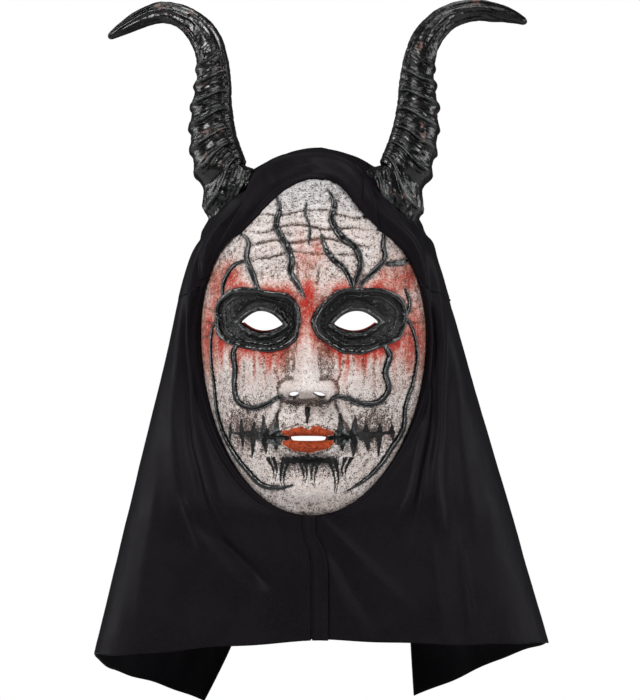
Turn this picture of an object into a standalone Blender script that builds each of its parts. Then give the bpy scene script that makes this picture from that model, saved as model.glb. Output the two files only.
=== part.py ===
"""A horned costume mask with a draped hood.

A moulded face shell carries an elastic strap on two rivets. A sewn black hood covers its top and sides,
hangs below the chin and is open behind, and two ringed horns stand on the hood. Metres, +Z up. The face
looks along -Y, and the origin is the middle of the wearer's head at eye height.
"""

import math

import bmesh
import bpy
from mathutils import Vector
from mathutils.bvhtree import BVHTree

MM = 0.001
LEFT, RIGHT = -1, 1
SIDE_NAMES = {LEFT: "left", RIGHT: "right"}
CONTACT_GAP = 0.4 * MM

# Face shell: an egg-shaped dome, seen from the front
FACE_HALF_WIDTH = 85 * MM
FACE_TOP = 119 * MM
FACE_BOTTOM = 139 * MM
FACE_DEPTH_Y = -90 * MM
RIM_SIDE_Y = -6 * MM
RIM_TOP_Y = -26 * MM
RIM_CHIN_Y = -52 * MM
UPPER_ROUNDNESS = 2.05
LOWER_ROUNDNESS = 2.0
DOME_FLATNESS = 2.2
SHELL_THICKNESS = 2.5 * MM
SHELL_CELLS = 28

# Face features
EYE_X = 33 * MM
EYE_HALF_WIDTH = 16 * MM
EYE_UPPER_RISE = 8.5 * MM
EYE_LOWER_DROP = 6.5 * MM
EYE_TILT = math.radians(4)
NOSTRIL_X = 9 * MM
NOSTRIL_Z = -50 * MM
MOUTH_Z = -80 * MM
MOUTH_SLOT = (26 * MM, 3.4 * MM)
NOSE_TOP_Z, NOSE_TIP_Z, NOSE_BASE_Z = 22 * MM, -43 * MM, -56 * MM

# Hood
CLOTH = 1.5 * MM
HOOD_HALF_WIDTH = {LEFT: 99.5 * MM, RIGHT: 94.5 * MM}
HOOD_TOP = 125 * MM
SEAM_Z = 17 * MM
SIDE_Y = 5 * MM
SIDE_FLARE = {LEFT: 0.2446, RIGHT: 0.2925}
CROWN_POWER = 1.6
HEM_CORNER_Z = {LEFT: -237 * MM, RIGHT: -227 * MM}
HEM_FRONT_Z = -222 * MM
HEM_FRONT_Y = -66 * MM
BACK_CORNER = {LEFT: (88 * MM, -276 * MM), RIGHT: (66 * MM, -272 * MM)}
BACK_HEM_SAG = {LEFT: 7 * MM, RIGHT: 1 * MM}
BACK_GAP_HALF = 62 * MM
BACK_Y = 86 * MM
CROWN_BACK = (92 * MM, 64 * MM)
# How far out on the shell the opening's edge lies, every 22.5 degrees from the top to the chin
OPENING_SHARES = ((0.88,), (0.832,), (0.799,), (0.878,), (0.93,), (0.948,), (0.95,), (0.955,), (0.955,))
SEAM_GAP = 1.2 * MM
BAND_WIDTH = 24 * MM
HORN_TURN = math.radians(37)
PLACKET_WIDTH = 10.5 * MM
PLACKET_DRIFT = 6.5 * MM

# Horns: the spine of the right horn, as x, y, z, with the diameter there
HORN_SPINE = (
    (58.5, -25, 91, 38),
    (64.8, -23, 108, 37.5),
    (69.8, -19, 124, 35),
    (72.7, -13.5, 141, 32),
    (73.5, -7, 158, 28.5),
    (73, -0.5, 175, 25),
    (75, 5.5, 191, 22.5),
    (80, 10.5, 205, 21),
    (89.5, 14.5, 216.5, 18.5),
    (101, 17, 223, 16),
    (114.5, 18, 225.5, 15),
    (128.5, 17.5, 223.8, 13),
    (141, 16, 220.5, 9.5),
    (151, 14, 216, 4.5),
)
HORN_OFFSET_X = -1.2 * MM
HORN_TIP_DROP = {LEFT: 9 * MM, RIGHT: 0}
HORN_RIDGES = 9
RIDGED_SHARE = 0.60
RIDGE_HEIGHT = 2.0 * MM
HORN_RINGS, HORN_SIDES = 42, 14
HORN_WALL = 4.5 * MM
COLLAR_SHARE = 0.09
BASE_FLARE = 2.5 * MM
CORE_SHARE = 0.5

# Head strap, held by a rivet through each temple
PIVOT_Y, PIVOT_Z = -21 * MM, 31 * MM
STRAP_X = 72 * MM
STRAP_WIDTH = 16 * MM
STRAP_THICKNESS = 1.4 * MM
STRAP_BACK_Y = 84 * MM
STRAP_END = 9 * MM
PAD_SIZE = 20 * MM
RIVET_SHAFT_RADIUS = 1.8 * MM
RIVET_HOLE_RADIUS = 1.87 * MM
RIVET_HEAD_RADIUS = 5 * MM
RIVET_HEAD_HEIGHT = 1.2 * MM
WASHER_RADIUS = 6 * MM
WASHER_THICKNESS = 0.8 * MM

COLOURS = {
    "face_paint": ((0.72, 0.64, 0.60), 0.6),
    "horn_black": ((0.02, 0.022, 0.022), 0.45),
    "foam": ((0.16, 0.15, 0.14), 0.9),
    "hood_cloth": ((0.012, 0.011, 0.013), 0.7),
    "elastic": ((0.03, 0.03, 0.03), 0.8),
    "rivet_metal": ((0.35, 0.34, 0.33), 0.35),
    "washer_plastic": ((0.05, 0.05, 0.05), 0.5),
}


def clear_scene():
    for obj in list(bpy.data.objects):
        bpy.data.objects.remove(obj)


def collection(name):
    made = bpy.data.collections.new(name)
    bpy.context.scene.collection.children.link(made)
    return made


def material(name):
    found = bpy.data.materials.get(name)
    if found:
        return found
    colour, roughness = COLOURS[name]
    made = bpy.data.materials.new(name)
    made.use_nodes = True
    shader = made.node_tree.nodes["Principled BSDF"]
    shader.inputs["Base Color"].default_value = (*colour, 1)
    shader.inputs["Roughness"].default_value = roughness
    shader.inputs["Metallic"].default_value = 1.0 if name == "rivet_metal" else 0.0
    return made


def smoothstep(low, high, value):
    share = min(1.0, max(0.0, (value - low) / (high - low)))
    return share * share * (3 - 2 * share)


def through(knots, share):
    """The values at a share of the way along a smooth curve through evenly spaced knots."""
    last = len(knots) - 1
    place = min(last - 1e-9, max(0.0, share * last))
    first = int(place)
    t = place - first
    nearby = [knots[min(last, max(0, first + k))] for k in (-1, 0, 1, 2)]
    values = []
    for a, b, c, d in zip(*nearby):
        bend = (2 * a - 5 * b + 4 * c - d) * t * t + (3 * b - a - 3 * c + d) * t**3
        values.append(b + 0.5 * ((c - a) * t + bend))
    return values


def add_mesh(name, bm, home, slot):
    mesh = bpy.data.meshes.new(name)
    bmesh.ops.recalc_face_normals(bm, faces=bm.faces)
    bm.to_mesh(mesh)
    bm.free()
    mesh.shade_smooth()
    obj = bpy.data.objects.new(name, mesh)
    home.objects.link(obj)
    if slot:
        mesh.materials.append(material(slot))
    return obj


def grid_surface(name, point, columns, rows, home, slot):
    """An open surface of quads through point(u, v), for u and v from 0 to 1, facing away from the head."""
    bm = bmesh.new()
    lines = [
        [bm.verts.new(point(i / columns, j / rows)) for j in range(rows + 1)]
        for i in range(columns + 1)
    ]
    for i in range(columns):
        for j in range(rows):
            bm.faces.new((lines[i][j], lines[i + 1][j], lines[i + 1][j + 1], lines[i][j + 1]))
    obj = add_mesh(name, bm, home, slot)
    mesh = obj.data
    outward = sum(
        polygon.normal.dot(Vector((polygon.center.x, polygon.center.y, max(polygon.center.z, 0))))
        for polygon in mesh.polygons
    )
    if outward < 0:
        mesh.flip_normals()
    return obj


def solidify(obj, thickness, offset=-1):
    """Thickens an open surface; offset -1 keeps its own surface as the outer one."""
    made = obj.modifiers.new("Thickness", "SOLIDIFY")
    made.thickness = thickness
    made.offset = offset
    return obj


def cut(obj, cutters):
    for cutter in cutters:
        made = obj.modifiers.new("Cut " + cutter.name, "BOOLEAN")
        made.operation = "DIFFERENCE"
        made.object = cutter


def as_cutter(obj):
    obj.hide_render = True
    obj.display_type = "WIRE"
    return obj


def surface_tree(obj):
    """A search tree over an object as its modifiers leave it, for resting one piece on another."""
    bpy.context.view_layer.update()
    return BVHTree.FromObject(obj, bpy.context.evaluated_depsgraph_get())


# ---------------------------------------------------------------- face shell


def rim_height(is_upper):
    return FACE_TOP if is_upper else FACE_BOTTOM


def rim_scale(x_share, z_share, is_upper):
    """How far a front-view direction reaches before it meets the egg-shaped rim."""
    power = UPPER_ROUNDNESS if is_upper else LOWER_ROUNDNESS
    return (abs(x_share) ** power + abs(z_share) ** power) ** (-1 / power)


def rim_depth(z_share):
    """The rim's y: it sweeps forward over the forehead and further forward under the chin."""
    reach = RIM_TOP_Y - RIM_SIDE_Y if z_share > 0 else RIM_CHIN_Y - RIM_SIDE_Y
    return RIM_SIDE_Y + reach * z_share**2


def dome_point(x_share, z_share, radius):
    """The smooth dome in a front-view direction (a unit vector), at a share of the way to the rim."""
    is_upper = z_share > 0
    reach = radius * rim_scale(x_share, z_share, is_upper)
    rim_y = rim_depth(z_share)
    depth = (FACE_DEPTH_Y - rim_y) * math.sqrt(max(0.0, 1 - radius**DOME_FLATNESS))
    return Vector(
        (FACE_HALF_WIDTH * x_share * reach, rim_y + depth, rim_height(is_upper) * z_share * reach)
    )


# Soft mounds and hollows: x, z, forward, spread in x, spread in z, all in millimetres
FACE_MOUNDS = (
    (0, 22, 2.5, 16, 8),
    (34, 25, 5.0, 22, 7),
    (33, 1, -9.0, 20, 13),
    (33, 0, 4.5, 14, 9),
    (52, -24, 4.5, 16, 14),
    (70, 34, -2.5, 12, 20),
    (30, 62, 2.0, 22, 20),
    (13.5, -47, 8.0, 6.5, 7),
    (0, -78, 6.5, 26, 19),
    (7, -73.5, 2.5, 9, 4.5),
    (0, -88, 4.0, 15, 5.0),
    (0, -80.5, -2.5, 22, 2.6),
    (0, -99, -2.5, 14, 5),
    (0, -117, 9.0, 18, 12),
    (40, -70, -3.0, 14, 22),
)


def face_relief(x, z):
    """How far the face's features stand forward of the dome at a front-view point."""
    total = 0.0
    for centre_x, centre_z, forward, spread_x, spread_z in FACE_MOUNDS:
        for side in (LEFT, RIGHT) if centre_x else (RIGHT,):
            across = (x - side * centre_x * MM) / (spread_x * MM)
            along = (z - centre_z * MM) / (spread_z * MM)
            total += forward * MM * math.exp(-(across**2) - along**2)
    down = (NOSE_TOP_Z - z) / (NOSE_TOP_Z - NOSE_TIP_Z)
    width = (7 + 5 * min(1.0, max(0.0, down))) * MM
    ridge = (5 + 18 * max(0.0, down) ** 1.3) * MM
    ridge *= smoothstep(34 * MM, 12 * MM, z) * smoothstep(NOSE_BASE_Z, NOSE_TIP_Z - 3 * MM, z)
    return total + ridge * math.exp(-(abs(x / width) ** 2.3))


def square_to_disc(u, v):
    """Spreads a square grid over a disc, so that the quads stay even."""
    a, b = 2 * u - 1, 2 * v - 1
    return a * math.sqrt(1 - b * b / 2), b * math.sqrt(1 - a * a / 2)


def face_surface(across, up, radius):
    """The shell's outside in a front-view direction, at a share of the way to the rim."""
    point = dome_point(across, up, radius)
    point.y -= face_relief(point.x, point.z) * (1 - smoothstep(0.86, 0.99, radius))
    return point


def face_point(u, v):
    across, up = square_to_disc(u, v)
    radius = math.hypot(across, up)
    if radius < 1e-6:
        across, up, radius = 0, 1e-6, 1e-6
    return face_surface(across / radius, up / radius, min(1.0, radius * (1.35 - 0.35 * radius**2)))


def outline_cutter(name, outline, home):
    """A front-view outline pushed right through the shell along Y."""
    curve = bpy.data.curves.new(name, "CURVE")
    curve.dimensions = "2D"
    curve.fill_mode = "BOTH"
    curve.extrude = 80 * MM
    spline = curve.splines.new("POLY")
    spline.points.add(len(outline) - 1)
    for place, (x, z) in zip(spline.points, outline):
        place.co = (x, z, 0, 1)
    spline.use_cyclic_u = True
    flat = bpy.data.objects.new(name, curve)
    home.objects.link(flat)
    flat.location = (0, -110 * MM, 0)
    flat.rotation_euler = (math.pi / 2, 0, 0)
    bpy.context.view_layer.update()
    depsgraph = bpy.context.evaluated_depsgraph_get()
    mesh = bpy.data.meshes.new_from_object(flat.evaluated_get(depsgraph))
    bm = bmesh.new()
    bm.from_mesh(mesh)
    bmesh.ops.remove_doubles(bm, verts=bm.verts, dist=0.01 * MM)
    obj = add_mesh(name, bm, home, None)
    obj.matrix_world = flat.matrix_world
    bpy.data.objects.remove(flat)
    return as_cutter(obj)


def eye_outline(side, points=9):
    """An almond: an upper and a lower arc between two corners, with the outer corner a little higher."""
    shares = [-math.cos(math.pi * i / points) for i in range(points + 1)]
    upper = [(EYE_HALF_WIDTH * s, EYE_UPPER_RISE * (1 - s * s)) for s in shares]
    lower = [(EYE_HALF_WIDTH * s, -EYE_LOWER_DROP * (1 - s * s)) for s in reversed(shares[1:-1])]
    turned = []
    for x, z in upper + lower:
        across = x * math.cos(EYE_TILT) - z * math.sin(EYE_TILT)
        up = x * math.sin(EYE_TILT) + z * math.cos(EYE_TILT)
        turned.append((side * (EYE_X + across), up))
    return turned


def oval_outline(x, z, width, height, turn=0.0, points=12):
    outline = []
    for i in range(points):
        angle = 2 * math.pi * i / points
        across, up = width / 2 * math.cos(angle), height / 2 * math.sin(angle)
        outline.append(
            (
                x + across * math.cos(turn) - up * math.sin(turn),
                z + across * math.sin(turn) + up * math.cos(turn),
            )
        )
    return outline


def make_face_shell(home, helpers):
    shell = grid_surface("face_shell", face_point, SHELL_CELLS, SHELL_CELLS, home, "face_paint")
    if sum(polygon.normal.y for polygon in shell.data.polygons) > 0:
        shell.data.flip_normals()
    solidify(shell, SHELL_THICKNESS)
    cutters = [outline_cutter("mouth_cutter", oval_outline(0, MOUTH_Z, *MOUTH_SLOT), helpers)]
    for side, name in SIDE_NAMES.items():
        cutters.append(outline_cutter(f"eye_cutter_{name}", eye_outline(side), helpers))
        nostril = oval_outline(side * NOSTRIL_X, NOSTRIL_Z, 9 * MM, 4.6 * MM, side * math.radians(-18))
        cutters.append(outline_cutter(f"nostril_cutter_{name}", nostril, helpers))
    cut(shell, cutters)
    return shell


# ---------------------------------------------------------------- hood


def opening_edge(direction):
    """The edge of the face opening, just clear of the shell, at a front-view angle from straight up."""
    across, up = math.sin(direction), math.cos(direction)
    share = through(OPENING_SHARES, abs(direction) / math.pi)[0]
    return face_surface(across, up, share) + Vector((1.5 * across, -1.4, 1.5 * up)) * MM


# The crown's outline: (x / half width)^2 + (z / HOOD_TOP)^CROWN_POWER = 1, met by the sides at SEAM_Z
SEAM_SINE = math.sqrt(1 - (SEAM_Z / HOOD_TOP) ** CROWN_POWER)
SEAM_ANGLE = math.asin(SEAM_SINE)


def side_point(z, side):
    """The hood's outline from the front: round over the crown, then a straight flare down to the hem."""
    half = HOOD_HALF_WIDTH[side]
    if z > SEAM_Z:
        rise = (z / HOOD_TOP) ** CROWN_POWER
        return Vector((side * half / SEAM_SINE * math.sqrt(max(0.0, 1 - rise)), SIDE_Y, z))
    return Vector((side * (half + SIDE_FLARE[side] * (SEAM_Z - z)), SIDE_Y, z))


EDGE_ANGLE = math.radians(75)
CHIN_SHARE = 0.66


def front_arc(edge, side, share):
    """Cloth from an edge at the front to the side: it leaves sideways and arrives pointing backwards."""
    turn = share * math.pi / 2
    point = edge.lerp(side, math.sin(turn))
    point.y = edge.y + (side.y - edge.y) * (1 - math.cos(turn))
    return point


def back_arc(side, edge, share):
    """Cloth from the side round to an edge at the back."""
    turn = share * math.pi / 2
    point = side.lerp(edge, 1 - math.cos(turn))
    point.y = side.y + (edge.y - side.y) * math.sin(turn)
    return point


def crown_edges(share):
    """The crown's front edge, top line and back edge, from the left temple (0) to the right one (1)."""
    turn = 2 * share - 1
    side = RIGHT if turn >= 0 else LEFT
    front = opening_edge(turn * EDGE_ANGLE)
    angle = abs(turn) * SEAM_ANGLE
    across = side * HOOD_HALF_WIDTH[side] * math.sin(angle) / SEAM_SINE
    top = Vector((across, SIDE_Y, HOOD_TOP * math.cos(angle) ** (2 / CROWN_POWER)))
    fall = math.cos(turn * math.pi / 2) ** 0.8
    back_y, back_z = CROWN_BACK
    back = top.copy()
    back.y += 9 * MM + (back_y - SIDE_Y - 9 * MM) * fall
    back.x *= 1 - 0.12 * fall
    back.z -= (HOOD_TOP - back_z) * fall
    return front, top, back


def crown_point(share, along):
    front, top, back = crown_edges(share)
    if along < 0.5:
        return front_arc(front, top, along * 2)
    return back_arc(top, back, along * 2 - 1)


def panel_edge(down, side):
    """The panel's inner edge: round the cheek and jaw to the chin, then down the front seam to the hem."""
    if down < CHIN_SHARE:
        return opening_edge(side * (EDGE_ANGLE + (math.pi - EDGE_ANGLE) * down / CHIN_SHARE))
    fall = (down - CHIN_SHARE) / (1 - CHIN_SHARE)
    return opening_edge(side * math.pi).lerp(Vector((0, HEM_FRONT_Y, HEM_FRONT_Z)), fall)


def panel_point(down, across, side):
    edge = panel_edge(down, side)
    edge.x += side * CONTACT_GAP
    corner_z = HEM_CORNER_Z[side]
    outer = side_point(SEAM_Z - SEAM_GAP + (corner_z - SEAM_Z) * down, side)
    point = front_arc(edge, outer, across)
    point.z -= SEAM_GAP * (1 - down)
    return point


def flap_edge(down, side):
    """The free edge of a back flap, from the temple to the hanging corner."""
    corner_x, corner_z = BACK_CORNER[side]
    start = side_point(SEAM_Z, side)
    settle = math.exp(-down / 0.11)
    swing_out = smoothstep(0.80, 1.0, down)
    x = BACK_GAP_HALF + (abs(start.x) - BACK_GAP_HALF) * settle + (corner_x - BACK_GAP_HALF) * swing_out
    y = BACK_Y + (start.y + 9 * MM - BACK_Y) * settle - 14 * MM * swing_out
    return Vector((side * x, y, SEAM_Z + (corner_z - SEAM_Z) * down))


def flap_point(down, across, side):
    outer = side_point(SEAM_Z + (HEM_CORNER_Z[side] - SEAM_Z) * down, side)
    outer.y += SEAM_GAP
    point = back_arc(outer, flap_edge(down, side), across)
    point.z -= 2 * SEAM_GAP * (1 - down)
    point.z -= BACK_HEM_SAG[side] * math.sin(math.pi * across) * down**3
    return point


def band_point(share, along):
    """A folded band of cloth that lies on the crown along the forehead edge."""
    inset = 0.035
    share = inset + (1 - 2 * inset) * share
    front, top, _ = crown_edges(share)
    beside_horn = math.exp(-(((abs(2 * share - 1) * EDGE_ANGLE - HORN_TURN) / math.radians(15)) ** 2))
    width = BAND_WIDTH * (1 - 0.55 * beside_horn)
    reach = min(1.0, width * 2 / math.pi / (top - front).length)
    point = front_arc(front, top, (0.04 + along) * reach)
    turn = 2 * share - 1
    outward = Vector((math.sin(turn * EDGE_ANGLE), -0.9, math.cos(turn * EDGE_ANGLE))).normalized()
    return point + outward * (2.5 * MM)


def placket_point(down, across):
    """The overlap strip down the front seam."""
    upper = opening_edge(math.pi)
    start = upper.lerp(Vector((0, HEM_FRONT_Y, HEM_FRONT_Z)), 0.02)
    end = Vector((0, HEM_FRONT_Y, HEM_FRONT_Z))
    point = start.lerp(end, down)
    point.x += (across - 0.5) * PLACKET_WIDTH + PLACKET_DRIFT * smoothstep(0, 0.45, down)
    point.y -= 1.8 * MM
    return point


def make_hood(home):
    crown = grid_surface("hood_crown", crown_point, 24, 10, home, "hood_cloth")
    solidify(crown, CLOTH)
    solidify(grid_surface("hood_brow_band", band_point, 26, 3, home, "hood_cloth"), CLOTH)
    solidify(grid_surface("front_placket", placket_point, 6, 2, home, "hood_cloth"), 1.2 * MM)
    for side, name in SIDE_NAMES.items():
        panel = grid_surface(
            f"hood_panel_{name}", lambda u, v, s=side: panel_point(u, v, s), 18, 8, home, "hood_cloth"
        )
        solidify(panel, CLOTH)
        flap = grid_surface(
            f"back_flap_{name}", lambda u, v, s=side: flap_point(u, v, s), 14, 6, home, "hood_cloth"
        )
        solidify(flap, CLOTH)
    return crown


# ---------------------------------------------------------------- horns


def spine_at(share):
    """The horn's centre and diameter at a share of its length."""
    x, y, z, diameter = through(HORN_SPINE, share)
    return Vector((x, y, z)) * MM, diameter * MM


def horn_frame(share):
    """Centre, direction, outer side and front side of the horn at a share of its length."""
    step = 0.01
    centre, diameter = spine_at(share)
    ahead, _ = spine_at(min(1.0, share + step))
    behind, _ = spine_at(max(0.0, share - step))
    along = (ahead - behind).normalized()
    front = (Vector((0, -1, 0)) + along * along.y).normalized()
    outer = front.cross(along).normalized()
    if outer.dot(Vector((1, 0, -1))) < 0:
        outer.negate()
    return centre, along, outer, front, diameter / 2


def ridge(share, outward):
    """The height of the growth rings: sharp on the outer side, nearly gone on the inner one."""
    fade = 1 - smoothstep(RIDGED_SHARE * 0.75, RIDGED_SHARE, share)
    wave = 0.5 - 0.5 * math.cos(2 * math.pi * HORN_RIDGES * (share / RIDGED_SHARE + 0.05 * outward))
    return RIDGE_HEIGHT * fade * wave**2 * (0.35 + 0.65 * max(0.0, 0.5 + 0.5 * outward))


def horn_ring(share, shrink):
    centre, _, outer, front, radius = horn_frame(share)
    points = []
    for i in range(HORN_SIDES):
        angle = 2 * math.pi * i / HORN_SIDES
        reach = max(0.5 * MM, radius - shrink)
        points.append(centre + outer * (reach * math.cos(angle)) + front * (reach * math.sin(angle)))
    return points


def horn_rings(side, shares, shrink, seat):
    """Rings up one horn; below COLLAR_SHARE they lean over to meet the seat, which lies along the crown."""
    collar = on_side(horn_ring(COLLAR_SHARE, shrink), side, 0)
    rings = []
    for share in shares:
        if share < COLLAR_SHARE:
            rings.append([low.lerp(high, share / COLLAR_SHARE) for low, high in zip(seat, collar)])
        else:
            rings.append(on_side(horn_ring(share, shrink), side, smoothstep(0.72, 1.0, share)))
    return rings


def add_ridges(ring, share):
    """Pushes a ring of points outward by the growth rings' height."""
    centre = sum(ring, Vector()) / len(ring)
    recess = RIDGE_HEIGHT / 2 * (1 - smoothstep(0.5, 0.9, share))
    ridged = []
    for i, point in enumerate(ring):
        height = ridge(share, math.cos(2 * math.pi * i / len(ring))) - recess
        ridged.append(point + (point - centre).normalized() * height)
    return ridged


def loft(name, rings, home, slot):
    """A closed solid through rings of points, with a flat cap on each end."""
    bm = bmesh.new()
    loops = [[bm.verts.new(point) for point in ring] for ring in rings]
    for lower, upper in zip(loops, loops[1:]):
        for i in range(len(lower)):
            following = (i + 1) % len(lower)
            bm.faces.new((lower[i], lower[following], upper[following], upper[i]))
    bm.faces.new(loops[0])
    bm.faces.new(loops[-1])
    return add_mesh(name, bm, home, slot)


def on_side(points, side, drop_share):
    """Mirrors a ring for the left horn, and lowers it by a share of the side's tip drop."""
    drop = HORN_TIP_DROP[side] * drop_share
    return [Vector((p.x * side + HORN_OFFSET_X, p.y, p.z - drop)) for p in points]


def rest_on(points, tree, towards, gap):
    """Moves points along a direction until they stand a small gap clear of a surface."""
    moved = []
    for point in points:
        start = point - towards * (30 * MM)
        hit, _, _, _ = tree.ray_cast(start, towards)
        moved.append(hit - towards * gap if hit else point)
    return moved


def make_horns(home, helpers, crown_tree):
    for side, name in SIDE_NAMES.items():
        inward = Vector((-0.50 * side, 0.36, -0.79)).normalized()

        def seat_ring(shrink):
            return rest_on(on_side(horn_ring(0, shrink), side, 0), crown_tree, inward, 2 * CONTACT_GAP)

        footprint = [seat_ring(HORN_SPINE[0][3] / 2 * MM * share) for share in (0.98, 0.65, 0.35)]

        shares = [i / HORN_RINGS for i in range(HORN_RINGS + 1)]
        plain = horn_rings(side, shares, 0, seat_ring(-BASE_FLARE))
        ridged = [add_ridges(ring, share) for ring, share in zip(plain[1:], shares[1:])]
        horn = loft(f"horn_{name}", footprint + plain[:1] + ridged, home, "horn_black")

        core_shares = [CORE_SHARE * i / 8 for i in range(9)]
        shrink = HORN_WALL + CONTACT_GAP
        rings = footprint + horn_rings(side, core_shares, shrink, seat_ring(shrink))
        loft(f"horn_core_{name}", rings, home, "foam")

        seat = seat_ring(HORN_WALL)
        hollow_shares = [share * 1.02 for share in core_shares]
        hollow_rings = horn_rings(side, hollow_shares, HORN_WALL, seat)
        below = [point + inward * (14 * MM) for point in seat]
        cut(horn, [as_cutter(loft(f"horn_hollow_{name}", [below] + hollow_rings, helpers, None))])


# ---------------------------------------------------------------- head strap


def strap_point(share, across):
    """A ribbon: straight past each rivet, then round behind the head."""
    straight = STRAP_END - PIVOT_Y
    ends = 0.12
    z = PIVOT_Z + (across - 0.5) * STRAP_WIDTH
    if share < ends or share > 1 - ends:
        side = RIGHT if share < ends else LEFT
        run = (share if share < ends else 1 - share) / ends
        return Vector((side * STRAP_X, PIVOT_Y - STRAP_END + run * straight, z))
    angle = math.pi * (share - ends) / (1 - 2 * ends)
    return Vector((STRAP_X * math.cos(angle), STRAP_BACK_Y * math.sin(angle), z))


def cylinder(name, radius, length, centre, home, slot, sides=16):
    """A round bar along X."""
    bm = bmesh.new()
    bmesh.ops.create_cone(
        bm, cap_ends=True, segments=sides, radius1=radius, radius2=radius, depth=length
    )
    obj = add_mesh(name, bm, home, slot)
    obj.rotation_euler = (0, math.pi / 2, 0)
    obj.location = centre
    return obj


def make_strap(home, helpers, shell):
    shell_tree = surface_tree(shell)
    strap = grid_surface("strap_band", strap_point, 34, 1, home, "elastic")
    solidify(strap, STRAP_THICKNESS, offset=0)
    for side, name in SIDE_NAMES.items():
        pivot = Vector((side * STRAP_X, PIVOT_Y, PIVOT_Z))
        centre = pivot + Vector((side * 6 * MM, 0, 0))
        hole = cylinder(f"rivet_hole_{name}", RIVET_HOLE_RADIUS, 60 * MM, centre, helpers, None)
        cut(strap, [as_cutter(hole)])
        cut(shell, [hole])
        make_pad(f"strap_pad_{name}", side, shell_tree, hole, home)
        washer_x = STRAP_X - STRAP_THICKNESS / 2 - CONTACT_GAP - WASHER_THICKNESS / 2
        washer = cylinder(
            f"strap_washer_{name}",
            WASHER_RADIUS,
            WASHER_THICKNESS,
            (side * washer_x, PIVOT_Y, PIVOT_Z),
            home,
            "washer_plastic",
        )
        cut(washer, [hole])
        inner_x = washer_x - WASHER_THICKNESS / 2 - CONTACT_GAP
        make_rivet(f"strap_rivet_{name}", side, inner_x, outer_reach(side, shell_tree), home)


def make_pad(name, side, shell_tree, hole, home):
    """A foam patch with a flat face for the strap, filled out to the shell's curved inside."""
    face_x = STRAP_X + STRAP_THICKNESS / 2 + CONTACT_GAP
    cells = 4
    bm = bmesh.new()
    bmesh.ops.create_cube(bm, size=1)
    bmesh.ops.subdivide_edges(bm, edges=bm.edges, cuts=cells - 1, use_grid_fill=True)
    for vert in bm.verts:
        y = PIVOT_Y + vert.co.y * PAD_SIZE * 0.7
        z = PIVOT_Z + vert.co.z * PAD_SIZE
        hit, _, _, _ = shell_tree.ray_cast(Vector((side * 60 * MM, y, z)), Vector((side, 0, 0)))
        wall_x = abs(hit.x) - 1.5 * CONTACT_GAP
        share = vert.co.x + 0.5
        vert.co = Vector((side * (face_x + (wall_x - face_x) * share), y, z))
    pad = add_mesh(name, bm, home, "foam")
    cut(pad, [hole])


def outer_reach(side, shell_tree):
    """The x that clears the shell's outside everywhere under a rivet head."""
    reach = 0.0
    for i in range(16):
        angle = 2 * math.pi * i / 16
        y = PIVOT_Y + RIVET_HEAD_RADIUS * math.cos(angle)
        z = PIVOT_Z + RIVET_HEAD_RADIUS * math.sin(angle)
        hit, _, _, _ = shell_tree.ray_cast(Vector((side * 130 * MM, y, z)), Vector((-side, 0, 0)))
        reach = max(reach, abs(hit.x))
    return reach + CONTACT_GAP


def make_rivet(name, side, head_face_x, outer_x, home):
    """A rivet turned about its axis: a flat head inside, a thin shaft and a formed head outside."""
    profile = (
        (0, outer_x + RIVET_HEAD_HEIGHT),
        (RIVET_HEAD_RADIUS * 0.7, outer_x + RIVET_HEAD_HEIGHT),
        (RIVET_HEAD_RADIUS * 0.9, outer_x + RIVET_HEAD_HEIGHT / 2),
        (RIVET_HEAD_RADIUS * 0.9, outer_x),
        (RIVET_SHAFT_RADIUS, outer_x),
        (RIVET_SHAFT_RADIUS, head_face_x),
        (RIVET_HEAD_RADIUS, head_face_x),
        (RIVET_HEAD_RADIUS * 0.8, head_face_x - RIVET_HEAD_HEIGHT),
        (0, head_face_x - RIVET_HEAD_HEIGHT),
    )
    bm = bmesh.new()
    points = [bm.verts.new((radius, 0, height)) for radius, height in profile]
    for first, second in zip(points, points[1:]):
        bm.edges.new((first, second))
    mesh = bpy.data.meshes.new(name)
    bm.to_mesh(mesh)
    bm.free()
    mesh.materials.append(material("rivet_metal"))
    obj = bpy.data.objects.new(name, mesh)
    home.objects.link(obj)
    turned = obj.modifiers.new("Turned", "SCREW")
    turned.axis = "Z"
    turned.steps = turned.render_steps = 16
    turned.use_merge_vertices = True
    turned.merge_threshold = 0.0001
    turned.use_smooth_shade = True
    obj.rotation_euler = (0, side * math.pi / 2, 0)
    obj.location = (0, PIVOT_Y, PIVOT_Z)


def main():
    clear_scene()
    home = collection("horned_mask")
    helpers = collection("cutters")
    shell = make_face_shell(home, helpers)
    crown = make_hood(home)
    make_horns(home, helpers, surface_tree(crown))
    make_strap(home, helpers, shell)


main()
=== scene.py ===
"""Looks for the horned costume mask: painted face, ringed horns, draped hood, strap, light and camera.

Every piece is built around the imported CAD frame, in metres, with +Z up and the face looking along -Y.
The face's paint and relief formulas work in millimetres: mx and mz are a point's x and z, and side is how
far it lies from the middle. In the hood, horns and eye rings, side is LEFT or RIGHT.
"""

import functools
import itertools
import math

import bmesh
import bpy
import numpy as np
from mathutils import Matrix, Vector
from mathutils.bvhtree import BVHTree


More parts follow.
